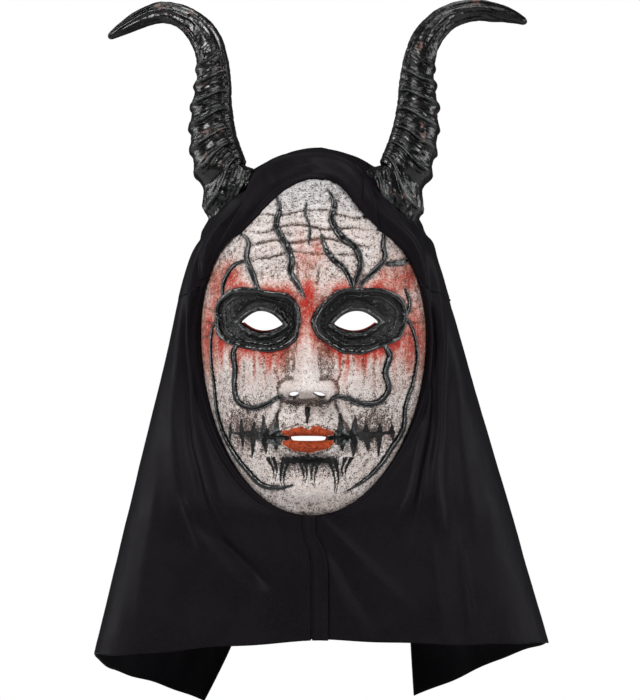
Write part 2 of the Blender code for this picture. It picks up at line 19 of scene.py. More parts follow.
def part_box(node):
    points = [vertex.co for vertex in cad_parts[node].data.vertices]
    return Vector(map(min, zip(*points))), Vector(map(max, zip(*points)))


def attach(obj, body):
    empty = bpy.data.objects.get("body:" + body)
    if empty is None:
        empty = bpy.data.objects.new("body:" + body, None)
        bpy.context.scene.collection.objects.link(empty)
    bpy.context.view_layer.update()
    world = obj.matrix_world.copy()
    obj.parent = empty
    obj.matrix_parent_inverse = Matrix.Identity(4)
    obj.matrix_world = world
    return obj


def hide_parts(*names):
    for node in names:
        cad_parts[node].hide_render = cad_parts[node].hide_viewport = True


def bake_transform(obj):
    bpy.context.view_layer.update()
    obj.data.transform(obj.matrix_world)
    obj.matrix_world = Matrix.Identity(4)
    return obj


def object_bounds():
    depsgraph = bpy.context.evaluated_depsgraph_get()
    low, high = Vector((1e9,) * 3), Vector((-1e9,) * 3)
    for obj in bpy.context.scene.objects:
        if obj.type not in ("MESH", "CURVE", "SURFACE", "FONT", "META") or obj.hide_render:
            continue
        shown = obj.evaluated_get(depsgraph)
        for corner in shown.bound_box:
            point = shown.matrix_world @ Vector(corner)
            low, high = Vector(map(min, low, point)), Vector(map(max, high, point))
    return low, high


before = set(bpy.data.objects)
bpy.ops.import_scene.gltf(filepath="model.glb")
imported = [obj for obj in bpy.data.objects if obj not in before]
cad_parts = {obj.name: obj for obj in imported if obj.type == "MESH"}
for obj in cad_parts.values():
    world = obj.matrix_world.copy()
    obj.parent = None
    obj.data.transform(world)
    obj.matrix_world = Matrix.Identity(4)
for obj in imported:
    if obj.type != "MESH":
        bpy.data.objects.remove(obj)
CAD_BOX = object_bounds()

MM = 0.001
LEFT, RIGHT = -1, 1
SIDES = {LEFT: "left", RIGHT: "right"}

# ------------------------------------------------------------------ the mask's own sizes, as the CAD has them

FACE_HALF_WIDTH, FACE_TOP, FACE_BOTTOM = 85 * MM, 119 * MM, 139 * MM
FACE_DEPTH_Y = -90 * MM
RIM_SIDE_Y, RIM_TOP_Y, RIM_CHIN_Y = -6 * MM, -26 * MM, -52 * MM
UPPER_ROUNDNESS, LOWER_ROUNDNESS, DOME_FLATNESS = 2.05, 2.0, 2.2
SHELL_THICKNESS = 2.5 * MM

EYE_X, EYE_HALF_WIDTH = 33 * MM, 16 * MM
EYE_UPPER_RISE, EYE_LOWER_DROP = 8.5 * MM, 6.5 * MM
EYE_TILT = math.radians(4)
NOSTRIL = (9 * MM, -50 * MM, 4.5 * MM, 2.3 * MM, math.radians(-18))
MOUTH_Z = -80 * MM
MOUTH_HALF = (13 * MM, 1.7 * MM)

HOOD_HALF_WIDTH = {LEFT: 99.5 * MM, RIGHT: 94.5 * MM}
SIDE_FLARE = {LEFT: 0.2446, RIGHT: 0.2925}
HOOD_TOP, SEAM_Z, SIDE_Y, CROWN_POWER = 125 * MM, 17 * MM, 5 * MM, 1.6
HEM_CORNER_Z = {LEFT: -237 * MM, RIGHT: -227 * MM}
HEM_FRONT_Z, HEM_FRONT_Y = -222 * MM, -66 * MM
BACK_CORNER = {LEFT: (88 * MM, -276 * MM), RIGHT: (66 * MM, -272 * MM)}
BACK_HEM_SAG = {LEFT: 8.5 * MM, RIGHT: 1 * MM}
BACK_GAP_HALF, BACK_Y = 62 * MM, 86 * MM
CROWN_BACK = (92 * MM, 64 * MM)
OPENING_SHARES = (0.88, 0.832, 0.799, 0.878, 0.93, 0.948, 0.95, 0.955, 0.955)
SEAM_SINE = math.sqrt(1 - (SEAM_Z / HOOD_TOP) ** CROWN_POWER)
SEAM_ANGLE = math.asin(SEAM_SINE)
EDGE_ANGLE = math.radians(75)
CHIN_SHARE = 0.66

# Along each horn: middle x, y and z, and the width there
HORN_SPINE = np.array((
    (58.5, -25, 91, 38), (64.8, -23, 108, 37.5), (69.8, -19, 124, 35), (72.7, -13.5, 141, 32),
    (73.5, -7, 158, 28.5), (73, -0.5, 175, 25), (75, 5.5, 191, 22.5), (80, 10.5, 205, 21),
    (89.5, 14.5, 216.5, 18.5), (101, 17, 223, 16), (114.5, 18, 225.5, 15), (128.5, 17.5, 223.8, 13),
    (141, 16, 220.5, 9.5), (151, 14, 216, 4.5),
), float) * MM
HORN_TURN = math.radians(37)
HORN_OFFSET_X = -1.2 * MM
HORN_TIP_DROP = {LEFT: 9 * MM, RIGHT: 0}
COLLAR_SHARE = 0.09


# ------------------------------------------------------------------ numbers and noise

NOISE_ORIGIN = 4096


def smooth(low, high, value):
    share = np.clip((value - low) / (high - low), 0, 1)
    return share * share * (3 - 2 * share)


def bell(value, width):
    return np.exp(-((value / width) ** 2))


def highest(*layers):
    return functools.reduce(np.maximum, layers)


def nearest(*distances):
    """The signed distance to several shapes taken as one."""
    return functools.reduce(np.minimum, distances)


def hashed(cells, seed):
    """Repeatable numbers from 0 to 1, one for each whole-number cell."""
    x, y, z = (cells[..., k].astype(np.uint64) for k in range(3))
    n = (x * 374761393 + y * 668265263 + z * 2246822519 + seed * 3266489917) & 0xFFFFFFFF
    n = ((n ^ (n >> 13)) * 1274126177) & 0xFFFFFFFF
    return ((n ^ (n >> 16)) & 0xFFFF) / 0xFFFF


def noise(points, cell, seed=1):
    """Smooth value noise from -1 to 1 with features about one cell across."""
    place = np.asarray(points) / cell + NOISE_ORIGIN
    low = np.floor(place)
    part = place - low
    part = part * part * (3 - 2 * part)
    low = low.astype(np.int64)
    total = np.zeros(part.shape[:-1])
    for corner in itertools.product((0, 1), repeat=3):
        weight = np.prod(np.where(np.array(corner), part, 1 - part), axis=-1)
        total += weight * hashed(low + np.array(corner), seed)
    return total * 2 - 1


def fractal(points, cell, octaves, seed=1):
    total, reach = 0, 0
    for k in range(octaves):
        total = total + noise(points, cell / 2**k, seed + k) / 2**k
        reach += 0.5**k
    return total / reach


def through(knots, share):
    """Values at shares of the way along a smooth curve through evenly spaced knots (one per row)."""
    knots = np.asarray(knots, float)
    share = np.asarray(share, float)
    last = len(knots) - 1
    place = np.clip(share * last, 0, last - 1e-9)
    first = place.astype(int)
    t = place - first
    if knots.ndim > 1:
        t = t[..., None]
    a, b, c, d = (knots[np.clip(first + k, 0, last)] for k in (-1, 0, 1, 2))
    return b + 0.5 * ((c - a) * t + (2 * a - 5 * b + 4 * c - d) * t**2 + (3 * b - a - 3 * c + d) * t**3)


def unit(vectors):
    return vectors / np.maximum(np.linalg.norm(vectors, axis=-1, keepdims=True), 1e-12)


def flat_points(x, z):
    """Front-view points at depth 0, as places for noise."""
    return np.stack((x, np.zeros_like(x), z), -1)


def turned(across, up, angle):
    """Offsets as seen in axes turned by an angle."""
    cos, sin = math.cos(angle), math.sin(angle)
    return across * cos + up * sin, -across * sin + up * cos


# ------------------------------------------------------------------ meshes

CREASE_ANGLE = 0.46
# Where the painted highlight lies round a raised tube's section, in radians from its top, and its spread.
HIGHLIGHT_ANGLE, HIGHLIGHT_SPREAD = 0.88, 0.26


def mesh_object(name, points, faces, attributes=None):
    mesh = bpy.data.meshes.new(name)
    mesh.from_pydata(np.asarray(points).reshape(-1, 3).tolist(), [], faces)
    for key, values in (attributes or {}).items():
        layer = mesh.attributes.new(key, "FLOAT", "POINT")
        layer.data.foreach_set("value", np.asarray(values, np.float32).ravel())
    mesh.update()
    mesh.shade_smooth()
    obj = bpy.data.objects.new(name, mesh)
    bpy.context.scene.collection.objects.link(obj)
    return obj


def grid_shares(rows, columns, start=(0, 0), end=(1, 1)):
    """Two arrays that run from start to end, the first down the rows and the second along the columns."""
    down, along = (np.linspace(start[k], end[k], count) for k, count in enumerate((rows, columns)))
    return np.meshgrid(down, along, indexing="ij")


def grid_faces(rows, columns, wrap=False, flip=False):
    i, j = np.meshgrid(np.arange(rows - 1), np.arange(columns if wrap else columns - 1), indexing="ij")
    here, below, following = i * columns, (i + 1) * columns, (j + 1) % columns
    quads = np.stack((here + j, below + j, below + following, here + following), -1).reshape(-1, 4)
    return (quads[:, ::-1] if flip else quads).tolist()


def grid_normals(grid, outward):
    """Unit normals of a grid of points, turned so that they point along outward on the whole."""
    normals = unit(np.cross(np.gradient(grid, axis=0), np.gradient(grid, axis=1)))
    if (normals * outward).sum(-1).mean() < 0:
        normals = -normals
    return normals


def sheet_object(name, grid, outward, thickness):
    """A sheet of cloth through a grid of points, thickened inward."""
    rows, columns = grid.shape[:2]
    normals = grid_normals(grid, outward)
    i, k = rows // 2, columns // 2
    facing = np.cross(grid[i + 1, k] - grid[i, k], grid[i, k + 1] - grid[i, k])
    flip = (facing * normals[i, k]).sum() < 0
    obj = mesh_object(name, grid, grid_faces(rows, columns, flip=flip))
    made = obj.modifiers.new("Cloth thickness", "SOLIDIFY")
    made.thickness = thickness
    made.offset = -1
    return obj


def join(name, parts):
    """One mesh from several (points, faces, attributes) islands."""
    points, faces, merged, count = [], [], {}, 0
    for some, some_faces, attributes in parts:
        points.append(some)
        faces += [[v + count for v in face] for face in some_faces]
        for key, values in attributes.items():
            merged.setdefault(key, []).append(values.ravel())
        count += len(some)
    return mesh_object(name, np.vstack(points), faces, {k: np.concatenate(v) for k, v in merged.items()})


def tube(line, radius, up, sides=10, flatness=0.8, crease=0.0, closed=False):
    """A tube along a line of points, flattened along up, with an optional crease along its top.

    It has flat ends, or runs back into its start where it is closed. Its attribute "edge" is a painted
    highlight:
    how much the paint is lightened round the section, most beside the crease.
    """
    ahead = np.roll(line, -1, 0) - np.roll(line, 1, 0) if closed else np.gradient(line, axis=0)
    side = unit(np.cross(unit(ahead), up))
    top = unit(np.cross(side, unit(ahead)))
    angle = np.linspace(0, 2 * np.pi, sides, endpoint=False)
    from_top = angle - np.pi / 2
    reach = 1 - crease * bell(from_top, CREASE_ANGLE)
    ring = radius[:, None, None] * reach[None, :, None] * (
        side[:, None] * np.cos(angle)[None, :, None] + top[:, None] * np.sin(angle)[None, :, None] * flatness
    )
    faces = grid_faces(len(line), sides, wrap=True)
    last = (len(line) - 1) * sides
    if closed:
        faces += [[last + j, j, (j + 1) % sides, last + (j + 1) % sides] for j in range(sides)]
    else:
        faces.append(list(range(sides)))
        faces.append(list(range(last, last + sides))[::-1])
    # Painted highlight: paler paint on both sides of the top of the section.
    edge_highlight = bell(np.abs(from_top) - HIGHLIGHT_ANGLE, HIGHLIGHT_SPREAD)
    return (line[:, None] + ring).reshape(-1, 3), faces, {"edge": np.broadcast_to(edge_highlight, ring.shape[:2])}


# ------------------------------------------------------------------ face surface

# Broad forms: centre x and z, how far forward, and the spreads in x and z, in millimetres
FACE_MOUNDS = (
    (0, 22, 2.5, 16, 8), (34, 25, 5.0, 22, 7), (33, 1, -9.0, 20, 13), (33, 0, 4.5, 14, 9),
    (52, -24, 4.5, 16, 14), (70, 34, -2.5, 12, 20), (30, 62, 2.0, 22, 20), (13.5, -47, 8.0, 6.5, 7),
    (0, -78, 6.5, 26, 19), (7, -73.5, 2.5, 9, 4.5), (0, -88, 4.0, 15, 5.0), (0, -80.5, -2.5, 22, 2.6),
    (0, -99, -2.5, 14, 5), (0, -117, 9.0, 18, 12), (40, -70, -3.0, 14, 22),
)
BRIDGE_TOP, BRIDGE_LENGTH = 22 * MM, 65 * MM
FOREHEAD_LINES = ((47, 0.7), (56, 1.0), (66, 0.9), (76, 0.6))
SOCKET_CENTRE, SOCKET_HALF = (35.5 * MM, 2.5 * MM), (30 * MM, 20.5 * MM)
SOCKET_TURN, SOCKET_POWER, SOCKET_SCALE = math.radians(7), 2.3, 23 * MM


def face_relief(x, z):
    """The face's broad forms, in metres forward of the dome."""
    total = np.zeros(np.shape(x))
    for centre_x, centre_z, forward, spread_x, spread_z in FACE_MOUNDS:
        for side in (LEFT, RIGHT) if centre_x else (RIGHT,):
            across = (x - side * centre_x * MM) / (spread_x * MM)
            along = (z - centre_z * MM) / (spread_z * MM)
            total += forward * MM * np.exp(-(across**2) - along**2)
    down = (BRIDGE_TOP - z) / BRIDGE_LENGTH
    width = (7 + 5 * np.clip(down, 0, 1)) * MM
    ridge = (5 + 18 * np.maximum(0, down) ** 1.3) * MM
    ridge *= smooth(34 * MM, 12 * MM, z) * smooth(-56 * MM, -46 * MM, z)
    return total + ridge * np.exp(-(np.abs(x / width) ** 2.3))


def face_place(x, z):
    """A front-view point's share of the way to the rim, and the dome's depth there."""
    upper = z > 0
    a, b = np.abs(x) / FACE_HALF_WIDTH, np.abs(z) / np.where(upper, FACE_TOP, FACE_BOTTOM)
    power = np.where(upper, UPPER_ROUNDNESS, LOWER_ROUNDNESS)
    radius = (a**power + b**power) ** (1 / power)
    steep = b / np.maximum(np.hypot(a, b), 1e-9)
    rim = RIM_SIDE_Y + (np.where(upper, RIM_TOP_Y, RIM_CHIN_Y) - RIM_SIDE_Y) * steep**2
    dome = rim + (FACE_DEPTH_Y - rim) * np.sqrt(np.maximum(0, 1 - np.minimum(radius, 1) ** DOME_FLATNESS))
    return radius, dome


def rim_point(across, up, share=1.0):
    """The front-view point at a share of the way to the face's rim in a direction."""
    power = np.where(up > 0, UPPER_ROUNDNESS, LOWER_ROUNDNESS)
    reach = share * (np.abs(across) ** power + np.abs(up) ** power) ** (-1 / power)
    return FACE_HALF_WIDTH * across * reach, np.where(up > 0, FACE_TOP, FACE_BOTTOM) * up * reach


def eye_distance(x, z):
    """Signed distance from the nearer eye hole's outline, roughly: negative inside."""
    across, up = turned(np.abs(x) - EYE_X, z, EYE_TILT)
    fall = 1 - (across / EYE_HALF_WIDTH) ** 2
    return np.maximum(up - EYE_UPPER_RISE * fall, -up - EYE_LOWER_DROP * fall), across, up


def oval_share(x, z, centre, half, turn, power):
    """A point's share of the way from an oval's centre to its outline."""
    across, up = turned(x - centre[0], z - centre[1], turn)
    return (np.abs(across / half[0]) ** power + np.abs(up / half[1]) ** power) ** (1 / power)


def oval_distance(x, z, centre, half, turn=0.0, power=2):
    return (oval_share(x, z, centre, half, turn, power) - 1) * min(half)


def ring_distance(x, z):
    """Signed distance from the ragged outline of the black ring round the nearer eye."""
    share = oval_share(np.abs(x), z, SOCKET_CENTRE, SOCKET_HALF, SOCKET_TURN, SOCKET_POWER)
    at = flat_points(x, z)
    return (share - 1) * SOCKET_SCALE + 1.5 * MM * noise(at, 13 * MM, 25) + 0.5 * MM * noise(at, 5 * MM, 27)


def mouth_line(x):
    return MOUTH_Z + 1.1 * (x / MM) ** 2 * 1e-3 * MM


def upper_lip(x):
    bow = 1 - 0.20 * bell(x / MM, 3.2) + 0.10 * bell(np.abs(x) / MM - 7, 4)
    return mouth_line(x) + 8.5 * MM * np.maximum(0, 1 - (x / (27 * MM)) ** 2) * bow


def lower_lip(x):
    return mouth_line(x) - 10.5 * MM * np.maximum(0, 1 - (x / (25 * MM)) ** 2)


def eye_folds(x, z, at):
    """The lids, the folds above and below them and the rough sunken socket, in millimetres."""
    d, across, up = eye_distance(x, z)
    d, across = d / MM, np.abs(across) / MM
    lid = 1.9 * bell(d - 1.6, 2.0)
    fold_above = 1.1 * bell(d - 7.5, 1.6) * (up > 0) * smooth(20, 12, across)
    fold_below = 0.8 * bell(d - 6.0, 1.5) * (up < 0) * smooth(19, 12, across)
    ring = ring_distance(x, z) / MM
    sunken = 1.3 * smooth(1.5, -3.0, ring) * smooth(2.0, 7.0, d)
    rough = 0.5 * fractal(at, 3.6 * MM, 3, 13) + 0.35 * noise(at * (0.45, 1, 1.6), 2.6 * MM, 15)
    return lid - fold_above - fold_below - sunken + rough * smooth(0, -4, ring)


def mouth_folds(mx, mz, side):
    """The line between the lips, their edges, fullness and cracks, and the groove under the nose."""
    x = mx * MM
    line = mouth_line(x) / MM
    gap = 2.2 * bell(mz - line, 1.3)
    edges = 0.9 * bell(mz - upper_lip(x) / MM - 0.6, 1.3) + 1.0 * bell(mz - lower_lip(x) / MM + 0.6, 1.5)
    full = 1.4 * bell(mz - line - 4.0, 2.6) + 1.9 * bell(mz - line + 5.0, 3.2)
    cracks = 0.20 * np.cos(mx * 2.6 + 0.6 * np.sin(mz)) * bell(mz - line + 0.5, 8) * smooth(26, 20, side)
    groove = (0.9 * bell(side - 5.0, 1.8) - 1.0 * bell(mx, 2.4)) * smooth(-72, -68, mz) * smooth(-55, -60, mz)
    return (full - gap - edges) * smooth(31, 26, side) + cracks + groove


def nose_folds(mx, mz, side):
    """The folds down to the mouth's corners, the nostrils' wings, the tip and the dents beside the bridge."""
    off = side - (18 + 15 * smooth(-50, -90, mz))
    laugh = (1.6 * bell(off - 3.5, 3.0) - 1.5 * bell(off, 1.9)) * smooth(-94, -84, mz) * smooth(-42, -52, mz)
    wing = oval_distance(side, mz, (12.5, -46.5), (7.0, 6.8))
    behind_wing = 1.9 * bell(wing - 1.6, 1.5) * smooth(9.5, 12.5, side + 0.25 * (mz + 46))
    tip = 1.6 * bell(mx, 7.5) * bell(mz + 43, 7.5)
    dents = 1.2 * bell(side - 8.0 + (mz + 20) * 0.10, 2.2) * smooth(-40, -30, mz) * smooth(4, -8, mz)
    return laugh + 1.4 * smooth(1.0, -4.0, wing) - behind_wing + tip - dents


def wrinkles(mx, mz, side, at):
    """Lines over the forehead, between the brows, beside the eyes, on the cheeks and on the chin."""
    total = -1.1 * bell(side - 6.5 - (mz - 28) * 0.12, 1.4) * bell(mz - 30, 11)
    for row, strength in FOREHEAD_LINES:
        wave = row + 2.0 * np.cos(mx / 17) + 1.2 * np.sin(mx / 7 + row) + 0.8 * noise(at, 11 * MM, row)
        rise = 0.55 * bell(mz - wave - 2.6, 2.0) - bell(mz - wave, 1.3)
        total += 1.4 * strength * rise * smooth(52, 26, side)
    rake = side - 66
    for k in (-1, 0, 1):
        total -= 0.8 * bell(mz - k * 7 - rake * 0.35 * (k + 0.3), 1.3) * bell(rake - 5, 7)
    for k in range(5):
        run = 24 + 8.0 * k + 1.5 * np.sin(mz / 6 + k)
        total -= 0.8 * bell(side - run - (mz + 20) * 0.14, 1.3) * bell(mz + 33, 12)
    total -= 1.3 * bell(mz + 97 - 0.012 * mx**2, 2.0) * smooth(24, 12, side)
    return total - 0.5 * bell(mx, 1.6) * bell(mz + 113, 8)


def fine_relief(x, z):
    """Folds, lip edges and a leathery surface, in metres on top of the broad forms."""
    at = flat_points(x, z)
    mx, mz, side = x / MM, z / MM, np.abs(x / MM)
    leather = 0.46 * fractal(at, 5.5 * MM, 3, 11) + 0.24 * noise(at, 1.9 * MM, 17)
    folds = eye_folds(x, z, at) + mouth_folds(mx, mz, side) + nose_folds(mx, mz, side)
    return (folds + wrinkles(mx, mz, side, at) + leather) * MM


def full_relief(x, z):
    return face_relief(x, z) + fine_relief(x, z)


def valley(x, z, reach):
    """How far the surface lies below its surroundings, in millimetres."""
    around = 0
    for k in range(6):
        angle = k * math.pi / 3
        around = around + full_relief(x + reach * math.cos(angle), z + reach * math.sin(angle)) / 6
    return (around - full_relief(x, z)) / MM


def face_y(x, z, fine=True):
    radius, dome = face_place(x, z)
    relief = full_relief(x, z) if fine else face_relief(x, z)
    return dome - relief * (1 - smooth(0.86, 0.99, radius))


def face_points(x, z, fine=True):
    return np.stack((x, face_y(x, z, fine), z), -1)


def face_normals(x, z, step=1.2 * MM):
    """Normals of the smooth face, pointing forward."""
    slope_x = (face_y(x + step, z, False) - face_y(x - step, z, False)) / (2 * step)
    slope_z = (face_y(x, z + step, False) - face_y(x, z - step, False)) / (2 * step)
    return unit(np.stack((slope_x, -np.ones_like(slope_x), slope_z), -1))


# ------------------------------------------------------------------ painted patterns, painted shade and painted highlights on the face

# Strokes across the mouth's line: x, slant, reach up, reach down and half width, in millimetres
STITCHES = (
    (-57, 0.10, 7, 9, 1.0), (-48, -0.05, 11, 8, 1.3), (-39.5, 0.08, 9, 15, 1.6), (-31, -0.06, 14, 11, 1.9),
    (-22.5, 0.05, 15, 8, 1.9), (23, -0.06, 15, 9, 1.9), (31.5, 0.05, 13, 14, 1.8), (40, -0.08, 10, 12, 1.6),
    (48.5, 0.06, 8, 14, 1.3), (57, -0.08, 9, 7, 1.0),
)
# Drips from the line under the lip: x and length in millimetres, and the way each leans
DRIPS = ((-27, 15, 1), (-16, 24, -1), (-5.5, 18, 1), (6, 20, -1), (16, 25, 1), (27, 14, -1))
MASK_WIDTH = 3.0


def soft(distance):
    """A mask from a signed distance in millimetres: one half on the outline, more inside it."""
    return np.clip(0.5 - distance / MASK_WIDTH, 0, 1)


def hair_distance(mx, mz):
    """Millimetres from each point to the nearest raised tendril, less the tendril's half width there."""
    best = np.full(np.shape(mx), 99.0)
    for spec in TENDRILS:
        for centre_x, centre_z, half in through(spec, np.linspace(0, 1, 70)):
            best = np.minimum(best, np.hypot(mx - centre_x, mz - centre_z) - half)
    return best


def stroke_distance(mx, mz, side, off, at):
    """The black line out from the mouth, the strokes across it, and those under the nose and the lip."""
    ragged = noise(at * (0.7, 1, 1), 3.0 * MM, 47)
    half = 3.4 * smooth(68, 24, side) + 0.3 + 0.7 * ragged
    found = highest(np.abs(off) - half, side - 66, 15 - side)
    for place, slant, rise, fall, width in STITCHES:
        run = np.abs(off / np.where(off > 0, rise, fall))
        stroke = np.abs(mx - place - slant * off) - 1.5 * width * (1.25 - run) - 0.35 * ragged
        found = nearest(found, highest(stroke, (run - 1.15) * 6))
    under_nose = highest(np.abs(mx + 0.4) - 1.9 * smooth(-76, -60, mz), mz + 58, -75 - mz)
    ragged = 1.3 * noise(at * (1, 1, 0.25), 2.6 * MM, 45)
    under_lip = np.abs(mz + 94.5 + 0.008 * mx**2) - (2.6 + ragged) * smooth(26, 6, side)
    corner = oval_distance(side, off, (22, 0), (9, 5.5))
    return nearest(found, under_nose, highest(under_lip, side - 24), corner)


def drip_distance(mx, mz):
    """The two edges of each drip below the lip, which meet at its end."""
    found = np.full(np.shape(mx), 99.0)
    for place, length, lean in DRIPS:
        t = np.clip((-95 - mz) / length, 0, 1)
        for edge in (-2.0, 2.0):
            path = place + lean * 3.0 * np.sin(t * 2.6) + edge * (1 - 0.7 * t)
            found = nearest(found, highest(np.abs(mx - path) - 1.5 * (1.15 - t), mz + 93, -95 - length - mz))
    return found


def lip_mask(x, mz, side, off, at):
    """Orange-red on both lips, with ragged edges."""
    lip = highest(mz - upper_lip(x) / MM, lower_lip(x) / MM - mz, side - 18.5)
    lip = lip + 0.9 * noise(at * (1, 1, 0.4), 1.9 * MM, 49) + 0.3
    return soft(highest(lip, np.where(side > 13, 1.8 - np.abs(off), -9)))


def haze_and_shade_mask(mx, mz, side, off, ring, hair):
    """Thin black round the mouth's line, the tendrils and the eye rings, and painted shade on the chin and by
    the nose.
    """
    return highest(
        1.05 * np.exp(-np.maximum(np.abs(off) - 2, 0) / 9.5) * smooth(70, 22, side) * smooth(13, 22, side),
        0.70 * np.exp(-np.maximum(hair, 0) / 2.2),
        0.85 * np.exp(-np.maximum(ring, 0) / 2.6),
        # Painted shade under the lower lip, beside the nostrils and under the nose.
        0.92 * bell(mz + 96, 9) * smooth(34, 12, side),
        0.80 * bell(side - 10.5, 5.5) * bell(mz + 55, 4.5),
        0.55 * bell(mx, 6) * bell(mz + 64, 7),
    )


def red_mask(mx, mz, side, ring, at):
    """Red round and below the eyes, between the brows, on the temples and at the cheeks' edges."""
    streak = noise(at * (1, 1, 0.14), 2.0 * MM, 41)
    cloud = noise(at * (1, 1, 0.4), 7 * MM, 43)
    outside = np.maximum(ring, 0)
    below = smooth(4, -12, mz) * smooth(9, 15, side)
    above = smooth(10, 18, mz) * smooth(4, 12, side)
    return highest(
        1.1 * np.exp(-outside / 8.0) * (0.85 + 0.35 * cloud),
        below * np.exp(-outside / (13 + 8 * streak)) * (1.0 + 0.35 * streak),
        bell(mx, 8.0) * smooth(-14, 2, mz) * smooth(42, 22, mz) * (0.85 + 0.35 * cloud),
        above * np.exp(-outside / 8.5) * (0.95 + 0.4 * cloud),
        bell(side - 63, 15) * bell(mz - 30, 17) * (0.85 + 0.4 * cloud),
        0.75 * bell(mx, 14) * bell(mz - 46, 20) * (0.6 + 0.5 * cloud),
        0.85 * bell(side - 72, 11) * bell(mz + 10, 30),
    )


def wash_and_shade_mask(x, z, crease, off, at):
    """Dark wash and painted shade: heavier in hollows, at the rim and round the mouth, thin on the cheekbones
    and nose.
    """
    mx, mz, side = x / MM, z / MM, np.abs(x / MM)
    hollow = np.clip(valley(x, z, 4.0 * MM), -1.5, 1.5)
    # Painted shade in creases, in hollows and towards the rim, over a thin base of wash.
    wash_and_shade = 0.21 + 1.25 * crease + 0.38 * hollow + 0.26 * smooth(0.66, 0.99, face_place(x, z)[0])
    # Painted shade in the cheeks, beside and under the nose and in the chin's crease, and heavier round the
    # mouth.
    wash_and_shade += 0.55 * bell(side - 46, 13) * bell(mz + 66, 20)
    wash_and_shade += 0.50 * bell(side - 13 + (mz + 30) * 0.12, 5) * bell(mz + 22, 20)
    wash_and_shade += 0.40 * smooth(17, 2, np.abs(off)) * smooth(72, 45, side)
    wash_and_shade += 0.30 * bell(mz + 104, 7) * smooth(40, 14, side) + 0.35 * bell(mz + 58, 4) * smooth(22, 8, side)
    # Random blotches of wash; darker towards the top and lighter below the chin's crease.
    wash_and_shade += 0.16 * fractal(at, 16 * MM, 3, 51) + 0.12 * smooth(10, 50, mz) - 0.10 * smooth(-88, -104, mz)
    # Thinner on the cheekbones and the nose, as painted highlight.
    return wash_and_shade - 0.45 * bell(side - 36, 12) * bell(mz + 40, 9) - 0.5 * bell(mx, 8) * bell(mz + 25, 22)


def paint_masks(x, z):
    """How much of each paint, painted shade and painted highlight lies on the face at front-view points."""
    mx, mz, side = x / MM, z / MM, np.abs(x / MM)
    at = flat_points(x, z)
    ring = ring_distance(x, z) / MM
    hair = hair_distance(mx, mz)
    off = mz - mouth_line(x) / MM
    crease = np.clip(valley(x, z, 1.5 * MM), -1, 1)
    lip = lip_mask(x, mz, side, off, at)
    solid = soft(nearest(ring, stroke_distance(mx, mz, side, off, at), hair - 0.3))
    black = highest(solid, 0.92 * soft(drip_distance(mx, mz)))
    return {
        "paint_black": np.where(lip > 0.5, 0, black),
        # Black haze round the mouth, tendrils and rings, and painted shade by the nose and under the lip.
        "paint_haze_and_shade": np.clip(haze_and_shade_mask(mx, mz, side, off, ring, hair), 0, 1),
        "paint_red": np.clip(red_mask(mx, mz, side, ring, at), 0, 1.2),
        "paint_lip": lip,
        # Wash with painted shade in creases and hollows, thinned as painted highlight on cheekbones and nose.
        "paint_wash_and_shade": np.clip(wash_and_shade_mask(x, z, crease, off, at), 0, 1.2),
        # Painted shade: cool grey over the top of the forehead, under the hood.
        "paint_hood_shade": 0.8 * smooth(62, 98, mz),
        # Painted highlight: black paint lighter on ridges.
        "paint_ridge_highlight": np.clip(-crease * 1.6, 0, 1),
    }


# ------------------------------------------------------------------ node materials

# Black paint, and the grey it is rubbed to at random and lightened to on ridges as painted highlight.
BLACK_PAINT, RUBBED_AND_LIT_BLACK = (0.0018, 0.0018, 0.0020), (0.150, 0.158, 0.165)


